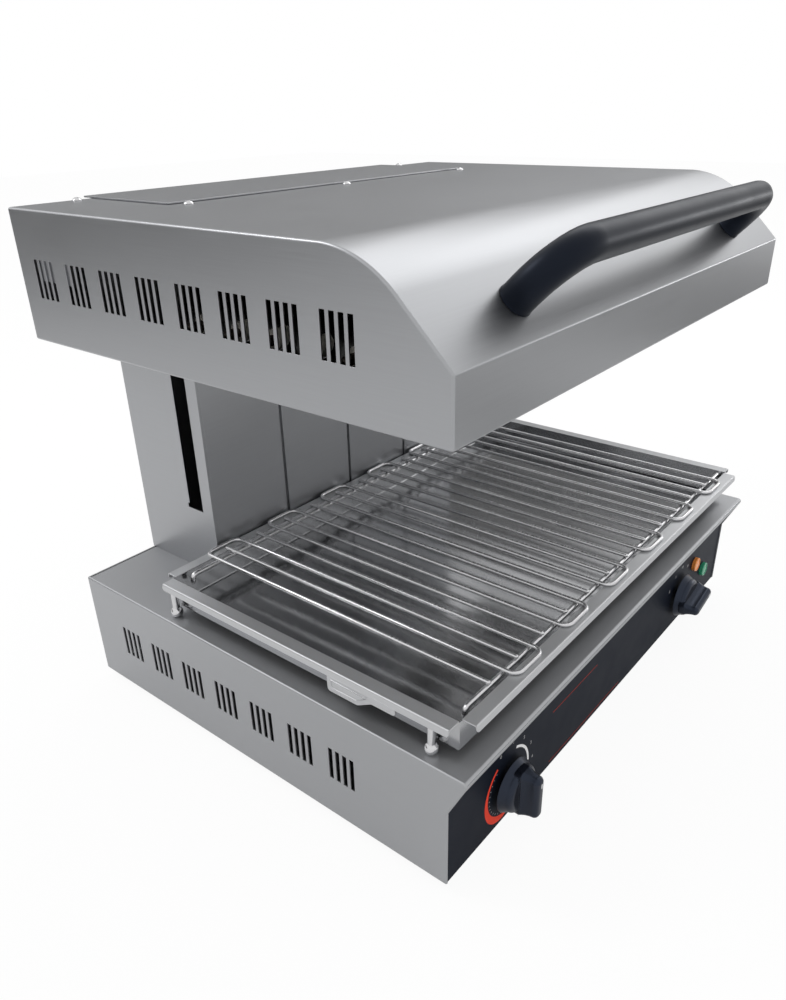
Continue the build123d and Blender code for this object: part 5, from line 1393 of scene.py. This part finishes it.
def add_lamp(name, place, target, size, power):
    """A soft rectangular lamp that looks at a point."""
    data = bpy.data.lights.new(name, "AREA")
    data.shape = "RECTANGLE"
    data.size, data.size_y = size
    data.energy = power
    lamp = linked(name, data)
    lamp.matrix_world = facing_matrix(place, target)


def add_card(name, place, target, size, base):
    """A grey card out of the camera's sight that darkens what mirrors it."""
    bm = bmesh.new()
    bmesh.ops.create_grid(bm, x_segments=1, y_segments=1, size=0.5)
    placed(bm, facing_matrix(place, target) @ Matrix.Diagonal((*size, 1.0, 1.0)))
    card = linked(name, mesh_from(bm, name))
    card.data.materials.append(matt_paint(name + "_paint", base))
    card.visible_camera = False
    card.visible_shadow = False
    card.visible_diffuse = False


def matt_paint(name, base):
    """A matt finish for what isn't part of the grill."""
    material = bpy.data.materials.new(name)
    material.use_nodes = True
    shader = material.node_tree.nodes["Principled BSDF"]
    shader.inputs["Base Color"].default_value = (*base, 1.0)
    shader.inputs["Roughness"].default_value = 0.9
    return material


def seen_rays(build, mirror_share=1.0):
    """1 for rays from the camera or through a lens, and a share for those that mirror the stage."""
    rays = build.add("ShaderNodeLightPath").outputs
    seen = build.math("MAXIMUM", rays["Is Camera Ray"], rays["Is Transmission Ray"])
    return build.math("MAXIMUM", seen, build.math("MULTIPLY", rays["Is Glossy Ray"], mirror_share))


def white_floor(colours):
    """Matt floor that is mostly plain white where it is seen, so that only shadows tint it."""
    material = matt_paint("floor_paper", colours.floor)
    nodes = material.node_tree.nodes
    build = NodeBuilder(material.node_tree)
    white = build.first("ShaderNodeEmission", {"Color": (1.0, 1.0, 1.0, 1.0), "Strength": 1.0})
    mix = build.first("ShaderNodeMixShader", {
        0: build.math("MULTIPLY", seen_rays(build, FLOOR_MIRROR_SHARE), FLOOR_WHITE_SHARE),
        1: nodes["Principled BSDF"].outputs[0], 2: white,
    })
    build.put(mix, nodes["Material Output"].inputs["Surface"])
    return material


def build_stage(colours):
    """Floor, world, lamps, cards and the camera."""
    bm = bmesh.new()
    bmesh.ops.create_grid(bm, x_segments=1, y_segments=1, size=FLOOR_HALF)
    floor = linked("floor", mesh_from(bm, "floor"))
    floor.data.materials.append(white_floor(colours))
    world = bpy.data.worlds.new("studio")
    bpy.context.scene.world = world
    world.use_nodes = True
    build = NodeBuilder(world.node_tree)
    sky = world.node_tree.nodes["Background"].inputs
    level = {"Value": seen_rays(build), "To Min": SKY_STRENGTH, "To Max": 1.0}
    build.put((1.0, 1.0, 1.0, 1.0), sky["Color"])
    build.put(build.first("ShaderNodeMapRange", level), sky["Strength"])
    for name, place, size, power in LAMPS:
        add_lamp(name, place, LAMP_TARGET, size, power)
    for name, place, target, size in CARDS:
        add_card(name, place, target, size, colours.card)
    add_camera()
    bpy.context.scene.view_settings.view_transform = "Standard"


# Operators, in the order in which they are called

class MakeFinishes(bpy.types.Operator):
    """Makes every material of the grill."""

    bl_idname = "grill.finishes"
    bl_label = "Finishes"

    def execute(self, context):
        make_steels(context.scene.grill_colours)
        make_moulded(context.scene.grill_colours)
        return {"FINISHED"}


class DressFrame(bpy.types.Operator):
    """Gives their finish to the frame's nodes that keep their own shape."""

    bl_idname = "grill.frame_nodes"
    bl_label = "Frame nodes"

    def execute(self, context):
        for finish, nodes in NODE_FINISHES.items():
            for node in nodes:
                NODES[node].data.materials.clear()
                NODES[node].data.materials.append(bpy.data.materials[finish])
        return {"FINISHED"}


class AddBaseShell(bpy.types.Operator):
    """Adds the base's outer sheet with its rolled nose and side slots."""

    bl_idname = "grill.base_shell"
    bl_label = "Base shell"

    def execute(self, context):
        build_base_shell(context.scene)
        return {"FINISHED"}


class AddFixedSheets(bpy.types.Operator):
    """Adds the column, its splash panels, its cap and the rear and bottom sheets."""

    bl_idname = "grill.fixed_sheets"
    bl_label = "Column and rear sheets"

    def execute(self, context):
        soft_pieces(SOFT_SHEETS)
        return {"FINISHED"}


class AddPanel(bpy.types.Operator):
    """Adds the black control panel and the cable gland."""

    bl_idname = "grill.control_panel"
    bl_label = "Control panel"

    def execute(self, context):
        soft_pieces(SOFT_PANELS)
        return {"FINISHED"}


class AddPrint(bpy.types.Operator):
    """Adds the printed scales and lines of the control panel."""

    bl_idname = "grill.panel_print"
    bl_label = "Panel print"

    def execute(self, context):
        build_print(context.scene)
        return {"FINISHED"}


class AddKnobs(bpy.types.Operator):
    """Adds the two knobs."""

    bl_idname = "grill.knobs"
    bl_label = "Knobs"

    def execute(self, context):
        build_knobs(context.scene)
        return {"FINISHED"}


class AddLenses(bpy.types.Operator):
    """Adds the two lamps' lenses."""

    bl_idname = "grill.lenses"
    bl_label = "Lamp lenses"

    def execute(self, context):
        build_lenses(context.scene)
        return {"FINISHED"}


class AddHoodSkin(bpy.types.Operator):
    """Adds the hood's outer sheet with its curved front and side slots."""

    bl_idname = "grill.hood_skin"
    bl_label = "Hood skin"

    def execute(self, context):
        build_hood_skin(context.scene)
        return {"FINISHED"}


class AddHoodLinings(bpy.types.Operator):
    """Adds the hood's inner sheets and the reflector over the elements."""

    bl_idname = "grill.hood_linings"
    bl_label = "Hood linings"

    def execute(self, context):
        soft_pieces(SOFT_LININGS)
        return {"FINISHED"}


class AddHeaters(bpy.types.Operator):
    """Adds the heating elements and their guard."""

    bl_idname = "grill.heaters"
    bl_label = "Heating elements"

    def execute(self, context):
        build_heaters(context.scene)
        return {"FINISHED"}


class AddHandle(bpy.types.Operator):
    """Adds the hood's handle."""

    bl_idname = "grill.handle"
    bl_label = "Handle"

    def execute(self, context):
        build_handle(context.scene)
        return {"FINISHED"}


class AddScrews(bpy.types.Operator):
    """Adds the screws in the hood's top."""

    bl_idname = "grill.screws"
    bl_label = "Screws"

    def execute(self, context):
        build_screws(context.scene)
        return {"FINISHED"}


class AddPan(bpy.types.Operator):
    """Adds the drip pan."""

    bl_idname = "grill.drip_pan"
    bl_label = "Drip pan"

    def execute(self, context):
        build_pan(context.scene)
        return {"FINISHED"}


class AddRack(bpy.types.Operator):
    """Adds the wire rack."""

    bl_idname = "grill.rack"
    bl_label = "Wire rack"

    def execute(self, context):
        build_rack(context.scene)
        return {"FINISHED"}


class SetStage(bpy.types.Operator):
    """Adds the floor, the world, the lamps, the grey cards and the camera."""

    bl_idname = "grill.stage"
    bl_label = "Stage"

    def execute(self, context):
        build_stage(context.scene.grill_colours)
        return {"FINISHED"}


OPERATORS = [
    MakeFinishes, DressFrame, AddBaseShell, AddFixedSheets, AddPanel, AddPrint, AddKnobs, AddLenses,
    AddHoodSkin, AddHoodLinings, AddHeaters, AddHandle, AddScrews, AddPan, AddRack, SetStage,
]
SIZES = {
    "grill_sheet": SheetSizes, "grill_base": BaseSizes, "grill_hood": HoodSizes,
    "grill_handle": HandleSizes, "grill_heater": HeaterSizes, "grill_pan": PanSizes,
    "grill_rack": RackSizes, "grill_knob": KnobSizes, "grill_print": PrintSizes,
    "grill_colours": GrillColours,
}


class GrillPanel(bpy.types.Panel):
    """Lists the grill's operators."""

    bl_idname = "VIEW3D_PT_grill"
    bl_label = "Grill"
    bl_space_type = "VIEW_3D"
    bl_region_type = "UI"
    bl_category = "Grill"

    def draw(self, context):
        for operator in OPERATORS:
            self.layout.operator(operator.bl_idname)


def register():
    """Registers the sizes, operators and the panel."""
    for name, group in SIZES.items():
        bpy.utils.register_class(group)
        setattr(bpy.types.Scene, name, PointerProperty(type=group))
    for kind in (*OPERATORS, GrillPanel):
        bpy.utils.register_class(kind)


def unregister():
    """Takes everything back out again."""
    for kind in (GrillPanel, *reversed(OPERATORS)):
        bpy.utils.unregister_class(kind)
    for name, group in reversed(SIZES.items()):
        delattr(bpy.types.Scene, name)
        bpy.utils.unregister_class(group)


def main():
    """Builds the grill and its stage."""
    register()
    for operator in OPERATORS:
        getattr(bpy.ops.grill, operator.bl_idname.split(".")[1])()


if __name__ == "__main__":
    main()
